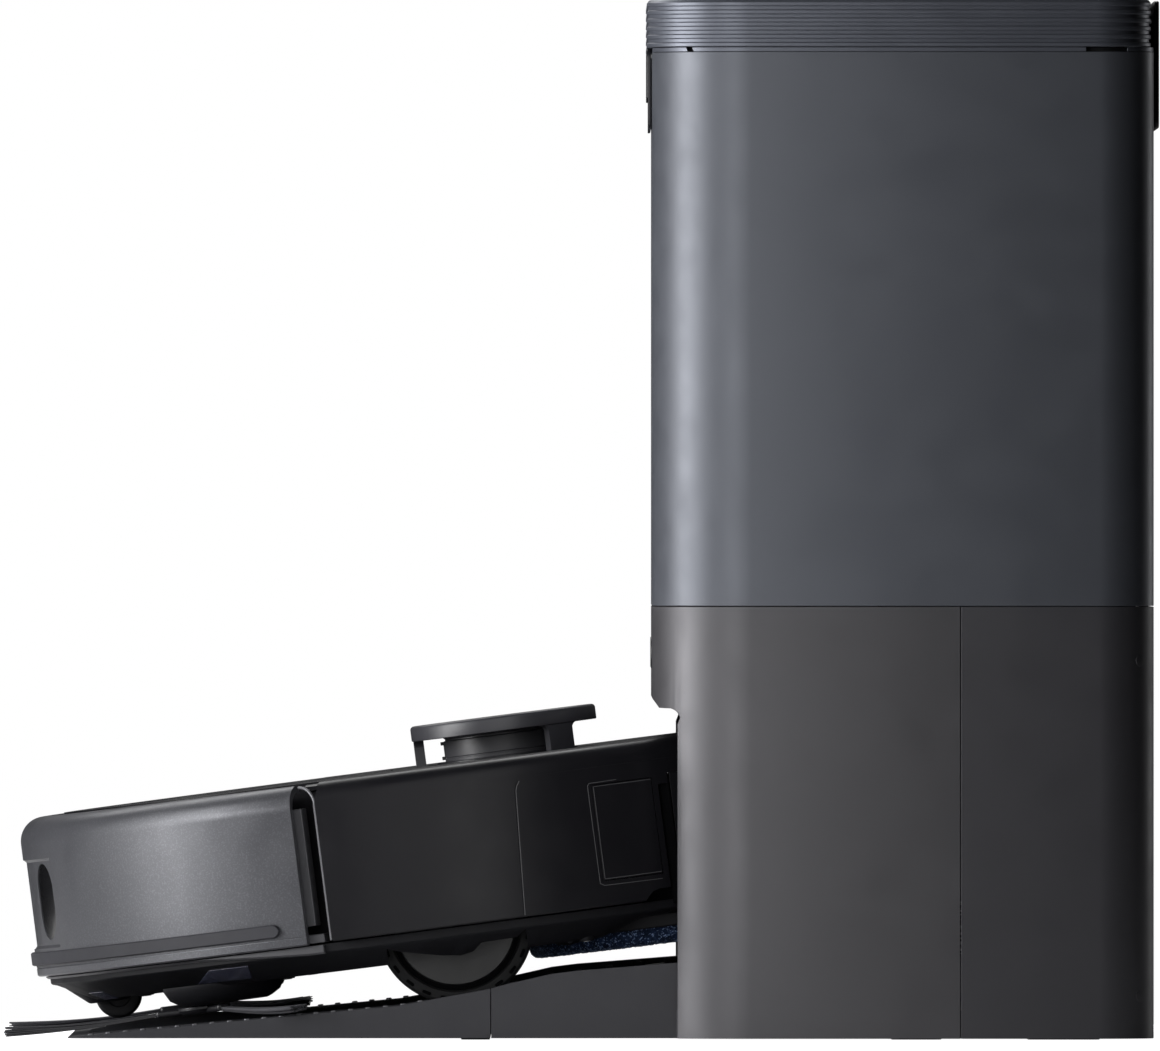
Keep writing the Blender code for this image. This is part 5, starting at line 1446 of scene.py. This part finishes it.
def build_rear():
    """Black sheets behind the gap at the rear tank and above the mop, painted shade where that gap
    falls in shadow, and the tank.
    """
    shade_sheets, corners = [], []
    for side in (-1, 1):
        shade_sheets.append(rounded_box((88.7, 93.1), sorted((side * 100.0, side * 143.4)),
                                   (-2.4, 50.0), 0.8, 0.3))
        shade_sheets.append(rounded_box((76.0, 92.0), sorted((side * 112.0, side * 137.6)),
                                   (-6.2, 4.2), 3.0, 0.6))
        corners.append(sector(band(168.6, BODY_R - 0.1, 46.2, 50.1),
                              *sorted((side * 57.3, side * 58.8)), 4))
    # painted shade: near-black sheets in the gap between the cover and the mop
    piece(stored("rear_gap_painted_shade", joined(*shade_sheets), ROBOT), "robot", "painted_shade",
          bevel=0)
    piece(stored("rear_gap_corners", joined(*corners), ROBOT), "robot", "cover",
          bevel=0.2)
    tank = sector(band(BODY_R - SKIN, BODY_R, GAP, 20.0), -57.0, 57.0, 120)
    plan = [polar(BODY_R, -57.0 + 114.0 * i / 120) for i in range(121)]
    water = stored("water_tank_body", tank, ROBOT)
    cut(water, prism(plan, 16.0, MODULE_TOP), matrix=ROBOT, operation="UNION")
    line = [(*polar(BODY_R + 0.1, -56.0 + 112.0 * i / 100), 20.0) for i in range(101)]
    cut(water, swept(line, 0.4, 6), matrix=ROBOT)
    piece(water, "robot", "module", ["water_tank"], bevel=0.9, segments=3)


def rounded_rect(x0, x1, half, radius, inset):
    return rounded_plan(x0 + inset, x1 - inset, half - inset, radius, radius, 8)


def build_utilities():
    """Pump, blower and circuit board in the station's lower part."""
    pump = turned(((0, -60.0), (11.0, -60.0), (12.5, -58.5), (12.5, -44.0), (14.0, -43.0),
                   (14.0, -8.0), (13.0, -6.0), (0, -6.0)), 72, (164.0, 44.0), "Y")
    piece(stored("water_pump_can", pump), "station", "steel", ["water_pump"],
          bevel=0.2)
    blower = turned(((0, 40.0), (30.0, 40.0), (32.0, 42.0), (32.0, 64.0), (30.0, 66.0),
                     (16.0, 66.0), (15.0, 60.0), (6.0, 60.0), (6.0, 63.0), (0, 63.0)),
                    96, (176.0, 70.0), "Y")
    piece(stored("drying_blower_can", blower), "station", "dark",
          ["drying_blower"], bevel=0.2)
    board = rounded_box((144.0, 145.4), (-80.0, 36.0), (64.0, 130.0), 2.0, 0.1, "X")
    piece(stored("station_board_plate", board), "station", "board",
          ["station_board"], bevel=0)
    rng = random.Random(5)
    chips = []
    for y in range(-72, 34, 13):
        for z in range(70, 128, 11):
            a, b = 1.6 + rng.random() * 3, 1.4 + rng.random() * 2.6
            chips.append(rounded_box((145.2, 145.95), (y - a, y + a), (z - b, z + b), 0.4, 0.1, "X"))
    piece(stored("station_board_chips", joined(*chips)), "station", "dark",
          bevel=0)


# ---------------------------------------------------------------- light and camera

TALL = 0.9
FAR_DISTANCE, FAR_HEIGHT = 3.0, 0.75
CAMERA_LENS_MM, CAMERA_Y, CAMERA_Z = 1400.0, -18.356, 0.2075


def far_place(degrees):
    """Place well away from the object, round from the viewer towards its front."""
    angle = math.radians(degrees)
    return -FAR_DISTANCE * math.sin(angle), -FAR_DISTANCE * math.cos(angle), FAR_HEIGHT


# name, place, target, (width, height), power in watts; lengths in metres
LIGHTS = (
    ("key_left", (-0.85, -0.25, 0.3), (0.0, -0.25, 0.3), (0.25, TALL), 6.4),
    ("key_left_rear", (-0.85, 0.0, 0.3), (0.0, 0.0, 0.3), (0.25, TALL), 1.2),
    ("key_far", far_place(65.0), (0.0, 0.0, 0.3), (0.9, 0.9), 26.8),
    ("fill_far", far_place(50.0), (0.0, 0.0, 0.3), (0.9, 0.9), 3.5),
    ("fill_front", (-0.2, -0.65, 0.3), (-0.2, -0.6, 0.3), (0.25, TALL), 0.84),
    ("fill_near", (0.0, -0.42, 0.3), (0.0, -0.4, 0.3), (0.12, TALL), 0.6),
    ("rim_right", (0.8, 0.5, 0.3), (0.7, 0.5, 0.3), (0.35, TALL), 1.2),
    ("top_back", (-0.3, 1.2, 1.3), (-0.1, 0.0, 0.2), (1.6, 0.8), 11.0),
)


def area_light(name, at, target, size, power):
    data = bpy.data.lights.new(name, "AREA")
    data.shape = "RECTANGLE"
    data.size, data.size_y = size
    data.energy = power
    light = bpy.data.objects.new(name, data)
    bpy.context.scene.collection.objects.link(light)
    light.location = at
    toward = Vector(target) - Vector(at)
    light.rotation_euler = toward.to_track_quat("-Z", "Y").to_euler()
    light.visible_camera = False
    return light


def build_stage():
    scene = bpy.context.scene
    scene.view_settings.view_transform = "Standard"
    world = bpy.data.worlds.new("studio")
    world.use_nodes = True
    nodes, links = world.node_tree.nodes, world.node_tree.links
    path = nodes.new("ShaderNodeLightPath")
    level = nodes.new("ShaderNodeMapRange")
    level.inputs["To Min"].default_value = 0.006
    level.inputs["To Max"].default_value = 1.0
    links.new(path.outputs["Is Camera Ray"], level.inputs["Value"])
    nodes["Background"].inputs["Color"].default_value = (1, 1, 1, 1)
    links.new(level.outputs["Result"], nodes["Background"].inputs["Strength"])
    scene.world = world

    floor = stored("floor", block((-600.0, 600.0), (-420.0, 420.0), (-4.0, -0.15)))
    mat, nodes, links = new_material("floor_pale")
    shader = nodes["Principled BSDF"]
    shader.inputs["Roughness"].default_value = 0.8
    cloud = noise(nodes, links, 5.0, 3.0)
    links.new(blended(nodes, links, ranged(nodes, links, cloud, 0.0, 1.0),
                      (0.86, 0.86, 0.87), (0.90, 0.90, 0.90)), shader.inputs["Base Color"])
    shader.inputs["Emission Color"].default_value = (1, 1, 1, 1)
    ray = nodes.new("ShaderNodeLightPath")
    links.new(ray.outputs["Is Camera Ray"], shader.inputs["Emission Strength"])
    floor.data.materials.append(mat)

    for name, at, target, size, power in LIGHTS:
        area_light(name, at, target, size, power)

    data = bpy.data.cameras.new("side_camera")
    data.lens = CAMERA_LENS_MM
    data.sensor_width = 36.0
    data.clip_start, data.clip_end = 1.0, 200.0
    camera = bpy.data.objects.new("side_camera", data)
    scene.collection.objects.link(camera)
    camera.location = (0.0, CAMERA_Y, CAMERA_Z)
    camera.rotation_euler = (math.radians(90), 0, 0)
    scene.camera = camera


def main():
    build_shells()
    build_upper()
    build_lid()
    build_ramp()
    build_bay()
    build_tanks()
    build_utilities()
    build_chassis()
    build_underside()
    build_fenders()
    build_cover()
    build_flap()
    build_cover_corners()
    build_hatch()
    build_lidar()
    build_bumper()
    build_strip()
    build_wheels()
    build_caster()
    build_brushes()
    build_roller()
    build_mops()
    build_inside()
    build_rear()
    build_stage()


main()
